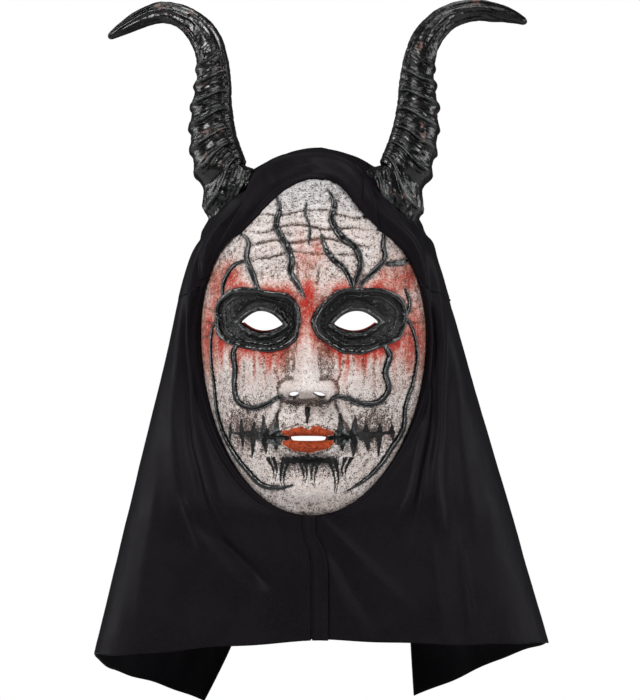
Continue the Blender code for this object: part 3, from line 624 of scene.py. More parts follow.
class Paint:
    """A material under construction. Values are node sockets, numbers or colours."""

    def __init__(self, name):
        self.material = bpy.data.materials.new(name)
        self.material.use_nodes = True
        self.tree = self.material.node_tree
        self.shader = self.tree.nodes["Principled BSDF"]
        coordinates = self.tree.nodes.new("ShaderNodeTexCoord")
        self.place = coordinates.outputs["Object"]

    def node(self, kind, inputs=None, **settings):
        made = self.tree.nodes.new("ShaderNode" + kind)
        for key, value in settings.items():
            setattr(made, key, value)
        for key, value in (inputs or {}).items():
            self.set(made.inputs[key], value)
        return made

    def set(self, socket, value):
        if isinstance(value, bpy.types.NodeSocket):
            self.tree.links.new(value, socket)
        elif socket.type == "RGBA":
            socket.default_value = (*value, 1)
        else:
            socket.default_value = value

    def noise(self, scale, detail=3.0, roughness=0.6, stretch=None):
        place = self.place
        if stretch:
            place = self.node("Mapping", {"Vector": place, "Scale": stretch}).outputs["Vector"]
        inputs = {"Vector": place, "Scale": scale, "Detail": detail, "Roughness": roughness}
        return self.node("TexNoise", inputs).outputs["Fac"]

    def wave(self, direction, scale, distortion, detail=2.0):
        inputs = {"Vector": self.place, "Scale": scale, "Distortion": distortion, "Detail": detail}
        return self.node("TexWave", inputs, bands_direction=direction).outputs["Fac"]

    def attribute(self, name):
        return self.node("Attribute", attribute_name=name).outputs["Fac"]

    def math(self, operation, *values):
        made = self.node("Math", operation=operation)
        for socket, value in zip(made.inputs, values):
            self.set(socket, value)
        return made.outputs[0]

    def total(self, *terms):
        """The sum of (value, weight) terms; a third number is first taken off the value."""
        result = -sum(weight * sum(middle) for _, weight, *middle in terms)
        for value, weight, *_ in terms:
            result = self.math("MULTIPLY_ADD", value, weight, result)
        return result

    def ramp(self, value, low, high, start=0.0, end=1.0):
        inputs = {"Value": value, "From Min": low, "From Max": high, "To Min": start, "To Max": end}
        return self.node("MapRange", inputs, interpolation_type="SMOOTHSTEP").outputs["Result"]

    def mix(self, share, first, second):
        made = self.node("Mix", data_type="RGBA")
        for index, value in ((0, share), (6, first), (7, second)):
            self.set(made.inputs[index], value)
        return made.outputs[2]

    def over(self, below, tone, value, low, high, strength=1.0):
        """A tone laid over what is below where a value passes from low to high."""
        return self.mix(self.ramp(value, low, high, end=strength), below, tone)

    def bump(self, height, distance, strength):
        inputs = {"Height": height, "Distance": distance, "Strength": strength}
        return self.node("Bump", inputs).outputs["Normal"]

    def finish(self, **sockets):
        for key, value in sockets.items():
            self.set(self.shader.inputs[key.replace("_", " ")], value)
        return self.material


def skin_paint(p, grain, medium, broad, grained_wash_and_shade, speck_and_shade):
    """Crackled pale skin under a thin dark wash with painted shade, and black specks."""
    skin = p.mix(p.ramp(broad, 0.35, 0.65), (0.63, 0.565, 0.54), (0.53, 0.450, 0.42))
    # Painted shade under the hood: cooler grey at the top of the forehead.
    skin = p.mix(p.attribute("paint_hood_shade"), skin, (0.42, 0.435, 0.45))
    skin = p.over(skin, (0.86, 0.835, 0.81), grain, 0.50, 0.66, 0.6)
    # The wash carries painted shade in creases and hollows, and the specks gather where it is heavy.
    skin = p.over(skin, (0.185, 0.100, 0.070), grained_wash_and_shade, 0.25, 1.15, 0.66)
    return p.mix(speck_and_shade, skin, (0.020, 0.015, 0.014))


def red_paint(p, below, grain, medium, grained_wash_and_shade, speck_and_shade):
    """A thin orange flush, then sprayed red that deepens in its middle."""
    red = p.attribute("paint_red")
    red_wash = p.total((red, 1), (grain, -1.9, 0.5))
    tone = p.mix(p.ramp(medium, 0.35, 0.65), (0.46, 0.018, 0.005), (0.28, 0.008, 0.004))
    tone = p.over(tone, (0.50, 0.005, 0.002), red_wash, 0.85, 1.45, 0.85)
    # Specks and the wash with its painted shade darken the red as well.
    tone = p.mix(p.math("MULTIPLY", speck_and_shade, 0.8), tone, (0.045, 0.010, 0.008))
    tone = p.over(tone, (0.060, 0.008, 0.006), grained_wash_and_shade, 0.25, 0.95, 0.85)
    flushed = p.over(below, (0.55, 0.190, 0.095), red, 0.05, 0.75, 0.55)
    return p.over(flushed, tone, red_wash, 0.15, 1.0)


def face_material():
    """Skin, red, haze and painted shade, lips and black from the front to the inside's bare latex and the red
    lids.
    """
    p = Paint("face_paint")
    fine, grit = p.noise(900, 5, 0.75), p.noise(1050, 2, 0.6)
    medium, broad = p.noise(330, 4, 0.6), p.noise(55, 3, 0.5)
    grain = p.total((fine, 1), (medium, 0.45, 0.5))
    # Wash and painted shade, broken by the grain; black specks gather where they are heavy.
    wash_and_shade = p.attribute("paint_wash_and_shade")
    grained_wash_and_shade = p.total((wash_and_shade, 1), (grain, -2.0, 0.5))
    speck_and_shade = p.ramp(p.total((wash_and_shade, 1), (grit, -6.5, 0.5), (medium, -1.6, 0.5)), 0.62, 1.05, end=0.92)
    colour = skin_paint(p, grain, medium, broad, grained_wash_and_shade, speck_and_shade)
    colour = red_paint(p, colour, grain, medium, grained_wash_and_shade, speck_and_shade)

    # Black haze, with painted shade under the lip and by the nose.
    haze_and_shade = p.total((p.attribute("paint_haze_and_shade"), 1), (grain, -2.0, 0.5))
    colour = p.over(colour, (0.030, 0.026, 0.026), haze_and_shade, 0.25, 0.95, 0.88)
    lip = p.total((p.attribute("paint_lip"), 1), (grain, 0.8, 0.5))
    lip_tone = p.mix(p.ramp(grain, 0.36, 0.60), (0.10, 0.012, 0.005), (0.42, 0.060, 0.012))
    colour = p.over(colour, lip_tone, lip, 0.44, 0.56)

    black = p.ramp(p.total((p.attribute("paint_black"), 1), (grain, -0.75, 0.5)), 0.42, 0.58)
    # Black paint, rubbed to grey at random and more on ridges as painted highlight.
    rubbed_and_highlit = p.total((grain, 1), (p.attribute("paint_ridge_highlight"), 0.30))
    colour = p.mix(black, colour, p.mix(p.ramp(rubbed_and_highlit, 0.60, 0.82), BLACK_PAINT, RUBBED_AND_LIT_BLACK))
    latex = p.mix(p.ramp(medium, 0.3, 0.7), (0.50, 0.42, 0.36), (0.42, 0.35, 0.30))
    colour = p.over(colour, latex, p.attribute("paint_inner"), 0.45, 0.9)
    colour = p.over(colour, (0.46, 0.020, 0.012), p.attribute("paint_lid"), 0.35, 0.75)
    height = p.math("MULTIPLY", p.total((grain, 0.8), (broad, 0.6)), p.ramp(black, 0.0, 1.0, 1.0, 1.8))
    return p.finish(
        Base_Color=colour, Roughness=p.ramp(black, 0.0, 1.0, 0.70, 0.20),
        Normal=p.bump(height, 0.5 * MM, 0.7), Specular_IOR_Level=0.22,
    )


def relief_material():
    """Glossy black paint on the raised tendrils and rings, rubbed grey and painted with highlights on their
    tops.
    """
    p = Paint("raised_black")
    fine = p.noise(1100, 5, 0.7)
    # Grey where rubbed at random, and along the edge attribute as painted highlight.
    rub_and_highlight = p.total((fine, 0.7), (p.noise(220, 3, 0.6), 0.40, 0.5), (p.attribute("edge"), 0.22))
    return p.finish(
        Base_Color=p.over((0.0016, 0.0016, 0.0018), (0.22, 0.23, 0.235), rub_and_highlight, 0.49, 0.62, 0.9),
        Roughness=p.ramp(fine, 0.35, 0.65, 0.14, 0.26),
        Normal=p.bump(fine, 0.25 * MM, 0.5), Specular_IOR_Level=0.5,
    )


def horn_material():
    """Black paint, dry-brushed with dark grey on the crests, with paler painted highlights there, and worn to
    brown in places.
    """
    p = Paint("horn_black")
    fine, medium, broad = p.noise(1100, 4, 0.7), p.noise(260, 4, 0.62), p.noise(75, 3, 0.55)
    long = p.noise(190, 4, 0.6, stretch=(1.0, 1.0, 0.22))
    crest_brush_and_highlight = p.math("POWER", p.attribute("crest"), 2.0)
    rub_and_highlight = p.total((crest_brush_and_highlight, 0.20), (fine, 0.42), (medium, 0.42), (broad, 0.22, 0.5))
    tone = p.mix(p.ramp(medium, 0.40, 0.60), (0.028, 0.042, 0.040), (0.062, 0.066, 0.066))
    # Painted highlight: paler grey along the crests.
    tone = p.over(tone, (0.080, 0.086, 0.086), crest_brush_and_highlight, 0.35, 0.95)
    colour = p.over((0.0014, 0.0015, 0.0016), tone, rub_and_highlight, 0.49, 0.74)
    worn = p.math("MULTIPLY", p.ramp(broad, 0.60, 0.66), p.ramp(medium, 0.50, 0.58))
    worn = p.math("MULTIPLY", worn, p.ramp(fine, 0.42, 0.56, end=0.8))
    height = p.total((fine, 0.35), (long, 0.6), (medium, 0.9))
    return p.finish(
        Base_Color=p.mix(worn, colour, (0.24, 0.125, 0.105)), Roughness=p.ramp(medium, 0.3, 0.7, 0.20, 0.34),
        Normal=p.bump(height, 0.4 * MM, 0.5), Specular_IOR_Level=0.42,
    )


def cloth_material():
    p = Paint("hood_cloth")
    thread, cloud = p.noise(2400, 2, 0.5, stretch=(1.0, 1.0, 0.25)), p.noise(30, 3, 0.5)
    knit = p.total((p.wave("X", 420.0, 0.6, 1.0), 0.6), (p.wave("Z", 330.0, 0.6, 1.0), 0.4))
    colour = p.mix(p.ramp(thread, 0.35, 0.65), (0.0036, 0.0029, 0.0039), (0.0074, 0.0062, 0.0079))
    colour = p.over(colour, (0.0086, 0.0073, 0.0091), cloud, 0.4, 0.65, 0.35)
    return p.finish(
        Base_Color=colour, Roughness=p.ramp(cloud, 0.3, 0.7, 0.44, 0.54),
        Normal=p.bump(knit, 0.10 * MM, 0.35), Specular_IOR_Level=0.05,
    )


def elastic_material():
    p = Paint("elastic")
    ribs, yarn = p.wave("Z", 260.0, 0.2), p.noise(1700, 2, 0.6)
    return p.finish(
        Base_Color=p.mix(yarn, (0.014, 0.014, 0.015), (0.038, 0.037, 0.038)), Roughness=0.8,
        Normal=p.bump(p.math("ADD", ribs, yarn), 0.18 * MM, 0.7), Specular_IOR_Level=0.25,
    )


def metal_material():
    p = Paint("rivet_metal")
    scratch = p.noise(900, 3, 0.6, stretch=(1.0, 0.2, 1.0))
    return p.finish(
        Base_Color=p.mix(scratch, (0.42, 0.40, 0.38), (0.60, 0.58, 0.55)), Metallic=1.0,
        Roughness=p.ramp(scratch, 0.3, 0.7, 0.26, 0.42), Normal=p.bump(scratch, 0.04 * MM, 0.4),
    )


def foam_material():
    p = Paint("foam")
    cells = p.node("TexVoronoi", {"Vector": p.place, "Scale": 1100.0}).outputs["Distance"]
    return p.finish(
        Base_Color=p.over((0.20, 0.19, 0.18), (0.06, 0.057, 0.054), cells, 0.1, 0.6), Roughness=0.92,
        Normal=p.bump(cells, 0.3 * MM, 0.6), Specular_IOR_Level=0.2,
    )


def washer_material():
    p = Paint("washer_plastic")
    grain = p.noise(1500, 3, 0.6)
    return p.finish(
        Base_Color=p.mix(grain, (0.030, 0.030, 0.031), (0.055, 0.055, 0.056)), Roughness=0.55,
        Normal=p.bump(grain, 0.05 * MM, 0.5), Specular_IOR_Level=0.4,
    )


MATERIALS = {
    "face_paint": face_material(), "raised_black": relief_material(), "horn_black": horn_material(),
    "hood_cloth": cloth_material(), "elastic": elastic_material(), "rivet_metal": metal_material(),
    "foam": foam_material(), "washer_plastic": washer_material(),
}


def dress(obj, material, body, *replaced, slot=None):
    """Gives a piece its material, body and the CAD nodes that it stands for; slot is not used."""
    obj.data.materials.clear()
    obj.data.materials.append(MATERIALS[material])
    if body:
        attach(obj, body)
    if replaced:
        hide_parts(*replaced)


# ------------------------------------------------------------------ face

FACE_CELLS = (190, 262)
LID_DEPTH = 2 * MM
OUTLINE_STEP, OUTLINE_PASSES, OUTLINE_GAIN = 0.05 * MM, 6, 0.8


def square_to_disc(a, b):
    return a * np.sqrt(1 - b * b / 2), b * np.sqrt(1 - a * a / 2)


def hole_distance(x, z):
    """Signed distance from the nearest hole's outline, roughly."""
    nostril_x, nostril_z, half_x, half_z, turn = NOSTRIL
    return nearest(
        eye_distance(x, z)[0],
        oval_distance(np.abs(x), z, (nostril_x, nostril_z), (half_x, half_z), turn),
        oval_distance(x, z, (0, MOUTH_Z), MOUTH_HALF, power=3),
    )


def pull_to_outline(x, z, target):
    """Moves points along the distance's slope until they lie at the target distance."""
    step = OUTLINE_STEP
    for _ in range(OUTLINE_PASSES):
        d = hole_distance(x, z) - target
        slope_x = (hole_distance(x + step, z) - hole_distance(x - step, z)) / (2 * step)
        slope_z = (hole_distance(x, z + step) - hole_distance(x, z - step)) / (2 * step)
        steep = np.maximum(slope_x**2 + slope_z**2, 0.05)
        x, z = x - OUTLINE_GAIN * d * slope_x / steep, z - OUTLINE_GAIN * d * slope_z / steep
    return x, z


def face_grid():
    """Front-view points over the whole face: a square grid pressed into the rim's outline."""
    across, up = square_to_disc(*grid_shares(FACE_CELLS[0] + 1, FACE_CELLS[1] + 1, (-1, -1)))
    radius = np.maximum(np.hypot(across, up), 1e-9)
    eased = np.minimum(1.0, radius * (1.14 - 0.14 * radius**2))
    ahead = np.where(radius < 1e-6, 1.0, across / radius)
    return rim_point(ahead, up / radius, eased)


def walls_between(front, count):
    """Faces from the front's open edges to the same points on the back, which come count later."""
    edges = {(int(quad[k]), int(quad[(k + 1) % 4])) for quad in front for k in range(4)}
    lone = sorted((a, b) for a, b in edges if (b, a) not in edges)
    return [[b, a, a + count, b + count] for a, b in lone]


def make_face():
    """The shell: the face's grid with its holes cut out, a smoother back and walls between the two."""
    x, z = (values.ravel() for values in face_grid())
    quads = np.array(grid_faces(FACE_CELLS[0] + 1, FACE_CELLS[1] + 1))
    open_cell = hole_distance(x[quads].mean(1), z[quads].mean(1)) <= 0
    kept = quads[~open_cell]
    border = np.intersect1d(kept, quads[open_cell])
    x[border], z[border] = pull_to_outline(x[border], z[border], 0.0)
    back_x, back_z = x.copy(), z.copy()
    at_eye = eye_distance(x[border], z[border])[0] < 0.5 * MM
    lower_lid = at_eye & (z[border] < 0) & (z[border] > -14 * MM)
    target = np.where(lower_lid, -LID_DEPTH, 0.0)
    back_x[border], back_z[border] = pull_to_outline(x[border], z[border], target)

    outer = face_points(x, z)
    normals = face_normals(x, z)
    inward = -normals
    inward[:, 1] += 0.6 * np.clip((face_place(x, z)[0] - 0.9) / 0.1, 0, 1)
    inner = face_points(back_x, back_z, fine=False) + unit(inward) * SHELL_THICKNESS
    inner += 0.25 * MM * noise(inner, 4 * MM, 5)[:, None] * normals

    used = np.unique(kept)
    count = len(used)
    front = np.searchsorted(used, kept)
    if np.cross(outer[kept[0, 1]] - outer[kept[0, 0]], outer[kept[0, 2]] - outer[kept[0, 0]])[1] > 0:
        front = front[:, ::-1]
    faces = front.tolist() + (front[:, ::-1] + count).tolist() + walls_between(front, count)

    nothing = np.zeros(count)
    attributes = {key: np.tile(values, 2) for key, values in paint_masks(x[used], z[used]).items()}
    attributes["paint_inner"] = np.concatenate((nothing, np.ones(count)))
    lid = smooth(0.6 * MM, 0.2 * MM, eye_distance(x[used], z[used])[0])
    attributes["paint_lid"] = np.concatenate((nothing, lid))
    face = mesh_object("face", np.vstack((outer[used], inner[used])), faces, attributes)
    dress(face, "face_paint", "mask", "face_shell")


# Raised tendrils: front-view points with the half width there, in millimetres
TENDRILS = (
    (
        (-24, 90, 0.5), (-21, 80, 1.5), (-23, 68, 2.0), (-17, 57, 2.1), (-12, 46, 2.1), (-12, 35, 1.9),
        (-6, 25, 1.6), (-2, 18, 0.6),
    ),
    ((-50, 64, 0.4), (-43, 57, 1.4), (-44, 46, 1.8), (-40, 36, 1.9), (-36, 26, 1.7), (-33, 22, 0.6)),
    ((-44, 44, 0.8), (-53, 41, 1.3), (-60, 32, 1.5), (-62, 22, 1.3), (-60, 18, 0.5)),
    (
        (12, 94, 0.4), (17, 84, 1.6), (16, 72, 2.1), (22, 61, 2.2), (32, 53, 2.0), (36, 43, 1.9),
        (34, 32, 1.8), (31, 23, 0.7),
    ),
    ((9, 62, 0.5), (12, 52, 1.6), (18, 44, 1.8), (25, 38, 1.6), (30, 28, 1.4), (31, 23, 0.6)),
    ((52, 68, 0.8), (51, 56, 1.4), (52, 45, 1.6), (45, 36, 1.7), (38, 29, 1.5), (35, 22, 0.6)),
    ((50, 42, 0.7), (58, 42, 1.9), (66, 44, 1.6), (71, 52, 0.7), (72, 57, 0.3)),
    (
        (-48, -12, 1.2), (-53, -20, 1.9), (-52, -32, 1.8), (-53, -44, 1.8), (-50, -55, 1.8), (-40, -59, 1.7),
        (-29, -56, 1.6), (-20, -51, 1.2), (-15, -52, 0.4),
    ),
    (
        (50, -13, 1.2), (56, -22, 2.0), (53, -34, 1.9), (55, -46, 1.9), (48, -55, 2.0), (37, -56, 1.9),
        (27, -52, 1.7), (19, -51, 1.1), (15, -54, 0.4),
    ),
    (
        (-63, 6, 0.8), (-70, -4, 1.1), (-71, -22, 1.2), (-69, -42, 1.3), (-67, -62, 1.4), (-62, -78, 1.6),
        (-54, -92, 1.7), (-44, -104, 1.8), (-34, -113, 1.8), (-22, -115, 1.3), (-12, -113, 0.4),
    ),
    (
        (64, 8, 0.7), (71, -4, 1.0), (74, -22, 1.2), (71, -42, 1.3), (66, -58, 1.4), (64, -74, 1.6),
        (56, -88, 1.6), (47, -101, 1.5), (36, -111, 1.2), (26, -117, 0.4),
    ),
    ((66, 24, 0.5), (69, 14, 1.2), (66, 4, 1.2), (64, -2, 0.5)),
    ((-2, 84, 0.3), (-3, 77, 0.8), (0, 70, 0.6), (1, 62, 0.7), (0, 55, 0.3)),
)
TENDRIL_SWELL, TENDRIL_THINNEST, TENDRIL_LIFT, TENDRIL_STEP = 1.1, 0.25, 0.22, 0.8
HALVINGS = 40
LOOP = {"sides": 12, "flatness": 0.9, "closed": True}


def raised(x, z, radius, lift, lumps=1, **section):
    """A tube on the face, lifted by a share of its radius."""
    normals = face_normals(x, z)
    points = face_points(x, z) + normals * (radius * lift)[:, None]
    return tube(points, radius * lumps, normals, **section)


def tendril(spec):
    """A tendril on the face through front-view points (x, z, half width), in millimetres."""
    spec = np.asarray(spec, float)
    length = np.linalg.norm(np.diff(spec[:, :2], axis=0), axis=1).sum()
    line = through(spec, np.linspace(0, 1, max(12, int(length / TENDRIL_STEP))))
    x, z = line[:, 0] * MM, line[:, 1] * MM
    radius = np.maximum(line[:, 2] * TENDRIL_SWELL, TENDRIL_THINNEST) * MM
    lumps = 1 + 0.14 * noise(flat_points(x, z), 4 * MM, 61)
    return raised(x, z, radius, TENDRIL_LIFT, lumps, sides=18, flatness=0.85, crease=0.60)


def outline_points(distance, centre, level, count, spread=34 * MM):
    """Points where a distance function has a level, walking round a centre."""
    angles = np.linspace(0, 2 * np.pi, count, endpoint=False)
    low, high = np.zeros(count), np.full(count, spread)
    for _ in range(HALVINGS):
        half = (low + high) / 2
        inside = distance(centre[0] + half * np.cos(angles), centre[1] + half * np.sin(angles)) < level
        low, high = np.where(inside, half, low), np.where(inside, high, half)
    return centre[0] + low * np.cos(angles), centre[1] + low * np.sin(angles)


def eye_loops(side):
    """The two raised rings round an eye's black socket, and the rim of the eye hole."""
    centre = (side * SOCKET_CENTRE[0], SOCKET_CENTRE[1])
    x, z = outline_points(ring_distance, centre, 0.3 * MM, 220)
    at = flat_points(x, z)
    lumps = 1 + 0.30 * noise(at, 9 * MM, 71 + side) + 0.12 * noise(at, 3 * MM, 73)
    yield raised(x, z, 1.75 * MM * lumps, 0.25, crease=0.2, **LOOP)
    x, z = outline_points(ring_distance, centre, -4.2 * MM, 200)
    thin = 0.55 + 0.45 * smooth(-4 * MM, -12 * MM, z)
    lumps = 1 + 0.25 * noise(flat_points(x, z), 6 * MM, 75)
    yield raised(x, z, 1.15 * MM * thin * lumps, 0.15, **LOOP)
    eye = (side * EYE_X, 0.5 * MM)
    x, z = outline_points(lambda a, b: eye_distance(a, b)[0], eye, 0.95 * MM, 200, 24 * MM)
    yield raised(x, z, np.full(len(x), 0.85 * MM), 0.2, **LOOP)


make_face()
dress(join("face_tendrils", map(tendril, TENDRILS)), "raised_black", "mask", slot="face_paint")
for eye_side, eye_name in SIDES.items():
    dress(join(f"eye_ring_{eye_name}", eye_loops(eye_side)), "raised_black", "mask", slot="face_paint")


# ------------------------------------------------------------------ hood surfaces

CLOTH, PLACKET_CLOTH = 0.9 * MM, 0.8 * MM
BEHIND_SIDE = 9 * MM
SEAM_TUCK_START = -0.012
EASE_ROWS = 22
BAND_WIDTH = 25 * MM
HORN_FOOT = (56 * MM, -27 * MM, 87 * MM)
STITCH_COUNT, FIRST_STITCH, STITCH_PITCH, STITCH_LENGTH, STITCH_PLACE = 30, 0.10, 0.030, 0.019, -0.36
FRONT_HEM = np.array((0, HEM_FRONT_Y, HEM_FRONT_Z))
LEVEL = np.array((1, 1, 0))  # keeps a direction's level part
CROWN_CENTRE = np.array((0, 0, 0.02))
BAND_CENTRE = np.array((0, 0.03, 0.02))


def opening_edge(direction):
    """The edge of the hood's face opening at front-view angles from straight up."""
    across, up = np.sin(direction), np.cos(direction)
    x, z = rim_point(across, up, through(OPENING_SHARES, np.abs(direction) / np.pi))
    outside = np.stack((1.5 * across, np.full_like(across, -1.4), 1.5 * up), -1) * MM
    return face_points(x, z, fine=False) + outside


def either(side, pair):
    return np.where(np.asarray(side) > 0, pair[RIGHT], pair[LEFT])


def side_point(z, side):
    """The hood's side seen from the front: round above the seam and flaring straight below it."""
    rise = (np.maximum(z, SEAM_Z) / HOOD_TOP) ** CROWN_POWER
    round_part = either(side, HOOD_HALF_WIDTH) / SEAM_SINE * np.sqrt(np.maximum(0, 1 - rise))
    straight = either(side, SIDE_FLARE) * np.maximum(SEAM_Z - z, 0)
    return np.stack((side * (round_part + straight), np.full_like(z, SIDE_Y), z), -1)


def quarter_arc(start, end, share, depth_first):
    """Points on a quarter oval in plan; with depth_first it leaves its start along y, not across it."""
    turn = share * np.pi / 2
    quick, slow = np.sin(turn), 1 - np.cos(turn)
    across, along = (slow, quick) if depth_first else (quick, slow)
    point = start + (end - start) * across[..., None]
    point[..., 1] = start[..., 1] + (end[..., 1] - start[..., 1]) * along
    return point


def crown_edges(share):
    """The crown's front edge, top line and back edge, from its left end to its right one."""
    turn = 2 * share - 1
    side = np.where(turn >= 0, 1.0, -1.0)
    front = opening_edge(turn * EDGE_ANGLE)
    angle = np.abs(turn) * SEAM_ANGLE
    across = side * either(side, HOOD_HALF_WIDTH) * np.sin(angle) / SEAM_SINE
    top = np.stack((across, np.full_like(turn, SIDE_Y), HOOD_TOP * np.cos(angle) ** (2 / CROWN_POWER)), -1)
    fall = np.maximum(np.cos(turn * np.pi / 2), 0) ** 0.8
    back = top.copy()
    back[..., 1] += BEHIND_SIDE + (CROWN_BACK[0] - SIDE_Y - BEHIND_SIDE) * fall
    back[..., 0] *= 1 - 0.12 * fall
    back[..., 2] -= (HOOD_TOP - CROWN_BACK[1]) * fall
    return front, top, back


def panel_edge(down, side):
    """The front edge of one side: round the face to the chin, then down the centre to the hem."""
    cheek = opening_edge(side * (EDGE_ANGLE + (np.pi - EDGE_ANGLE) * np.minimum(down / CHIN_SHARE, 1)))
    fall = np.clip((down - CHIN_SHARE) / (1 - CHIN_SHARE), 0, 1)[..., None]
    return cheek * (1 - fall) + (FRONT_HEM + np.array((0.4 * MM * side, 0, 0))) * fall


def flap_edge(down, side):
    """The loose back edge of one side."""
    corner_x, corner_z = BACK_CORNER[side]
    start = side_point(np.full_like(down, SEAM_Z), side)
    settle = np.exp(-np.maximum(down, 0) / 0.11)
    swing = np.clip((down - 0.80) / 0.20, 0, 1) ** 1.2
    x = BACK_GAP_HALF + (np.abs(start[..., 0]) - BACK_GAP_HALF) * settle + (corner_x - BACK_GAP_HALF) * swing
    y = BACK_Y + (SIDE_Y + BEHIND_SIDE - BACK_Y) * settle - 14 * MM * swing
    return np.stack((side * x, y, SEAM_Z + (corner_z - SEAM_Z) * down), -1)


def curl_edge(grid, radius, turns=7, reach=200):
    """Adds a rolled hem in front of a grid's first column."""
    first, second = grid[:, 0], grid[:, 1]
    back = unit(second - first)
    along = unit(np.gradient(first, axis=0))
    normal = unit(np.cross(along, back))
    if normal[:, 1].mean() > 0:
        normal = -normal
    rolled = [
        first - normal * radius + radius * (normal * math.cos(angle) - back * math.sin(angle))
        for angle in np.radians(np.linspace(reach, reach / turns, turns))
    ]
    return np.concatenate((np.stack(rolled, 1), grid), 1)


def crease(x, z, start, end, width):
    """One fold between two front-view points in millimetres, fading at both ends."""
    run = np.subtract(end, start)
    length = math.hypot(*run)
    along = ((x - start[0]) * run[0] + (z - start[1]) * run[1]) / length**2
    off = ((x - start[0]) * run[1] - (z - start[1]) * run[0]) / length
    faded = smooth(-0.15, 0.25, along) * smooth(1.2, 0.7, along)
    return bell(off, width * (0.6 + 0.6 * np.clip(along, 0, 1))) * faded


# Folds beside the face: height, width, and x at six even heights from z 60 to z -160, in millimetres
LONG_FOLDS = {
    LEFT: (
        (2.6, 2.3, (79, 87, 86.5, 83, 71, 52)), (-1.6, 2.6, (83, 91, 91, 88, 78, 62)),
        (1.3, 4.5, (86, 94, 99, 100, 93, 78)),
    ),
    RIGHT: (
        (2.2, 2.0, (75, 82, 83, 80, 71, 54)), (-2.0, 2.4, (78, 85.5, 86.5, 84.5, 78, 70)),
        (3.0, 2.6, (81, 89, 90.5, 89, 87, 93)), (-1.2, 4.0, (86, 92, 96, 96, 97, 104)),
        (1.2, 5.0, (92, 93, 102, 104, 107, 114)),
    ),
}
# Folds lower down: height, width, start and end as x and z, in millimetres
SHORT_FOLDS = {
    LEFT: (
        (-4.4, 4.6, (66, -150), (32, -183)), (1.9, 5.0, (82, -146), (44, -192)),
        (1.5, 3.0, (92, -122), (76, -166)), (1.2, 6.0, (24, -142), (14, -205)),
        (1.0, 6.0, (112, -110), (126, -220)),
    ),
    RIGHT: (
        (2.1, 5.0, (8, -138), (66, -198)), (-2.0, 6.0, (6, -148), (48, -214)),
        (1.6, 4.0, (104, -150), (113, -226)), (1.3, 4.5, (86, -152), (92, -222)),
        (1.4, 6.0, (12, -150), (22, -215)),
    ),
}
# Folds down the loose back halves: share of the way from the side to the back edge, height and width
BACK_FOLDS = ((0.30, 2.8, 0.07), (0.55, 3.6, 0.08), (0.80, 2.6, 0.06))


def half_folds(down, around, side, point):
    """Folds in one side of the hood, in metres outward.

    down is 0 at the seam and 1 at the hem; around is 0 at the face, 1 at the side and 2 at the back.
    """
    front = around < 1
    x, z = np.abs(point[..., 0]) / MM, point[..., 2] / MM
    total = np.zeros_like(down)
    fall = np.clip((60 - z) / 220, 0, 1)
    reach = smooth(84, 50, z) * smooth(-172, -120, z)
    for height, width, places in LONG_FOLDS[side]:
        off = x - through(places, fall) - 0.6 * np.sin(z / 9 + height)
        total += height * bell(off, width * (1 + 0.7 * smooth(-60, -150, z))) * reach * front
    for height, width, start, end in SHORT_FOLDS[side]:
        total += height * crease(x, z, start, end, width) * front
    wave = np.sin(2 * np.pi * (1.3 * around + 0.17 * side + 0.30 * down) + 0.9) * (1 - bell(around - 1, 0.22))
    total += 2.0 * wave * smooth(0.45, 1.0, down) * smooth(0.0, 0.35, around) * smooth(2.0, 1.8, around)
    behind = np.maximum(around - 1, 0)
    for k, (place, height, width) in enumerate(BACK_FOLDS):
        wander = place + 0.05 * np.sin(4 * down + 1.7 * k) - 0.05 * down
        faded = smooth(-0.1, 0.3, down) * smooth(1.05, 0.75, down)
        total += height * bell(behind - wander, width) * ~front * faded
    stretched = point * np.array((1.0, 1.0, 0.35))
    total += 0.55 * fractal(stretched, 17 * MM, 2, 81 + side) + 0.12 * noise(stretched, 5 * MM, 85)
    return total * MM


def half_base(down, around, side):
    """One side of the hood before its folds, eased where the chin's corner would crease it."""
    outer = side_point(SEAM_Z + (HEM_CORNER_Z[side] - SEAM_Z) * down, side)
    behind = np.maximum(around - 1, 0)
    front = quarter_arc(panel_edge(down, side), outer, np.minimum(around, 1), False)
    rear = quarter_arc(outer, flap_edge(down, side), behind, True)
    rear[..., 2] -= BACK_HEM_SAG[side] * np.sin(np.pi * behind**0.75) * np.maximum(down, 0) ** 3
    grid = np.where((around < 1)[..., None], front, rear)
    kernel = np.exp(-np.linspace(-2, 2, 2 * EASE_ROWS + 1) ** 2)
    padded = np.pad(grid, ((EASE_ROWS, EASE_ROWS), (0, 0), (0, 0)), mode="edge")
    eased = sum(weight * padded[k:k + len(grid)] for k, weight in enumerate(kernel / kernel.sum()))
    near_chin = bell(down - CHIN_SHARE, 0.10) * smooth(0.02, 0.20, around) * smooth(1.0, 0.9, around)
    return grid + (eased - grid) * near_chin[..., None]


def opening_hem(grid):
    """The sewn hem beside the face opening, in millimetres outward, by the distance from the edge."""
    steps = np.linalg.norm(np.diff(grid, axis=1), axis=-1).cumsum(1) / MM
    run = np.pad(steps, ((0, 0), (1, 0)))
    return 0.9 * bell(run - 2.6, 1.6) - 0.9 * bell(run - 6.2, 1.1) + 0.5 * bell(run - 9.5, 2.2)


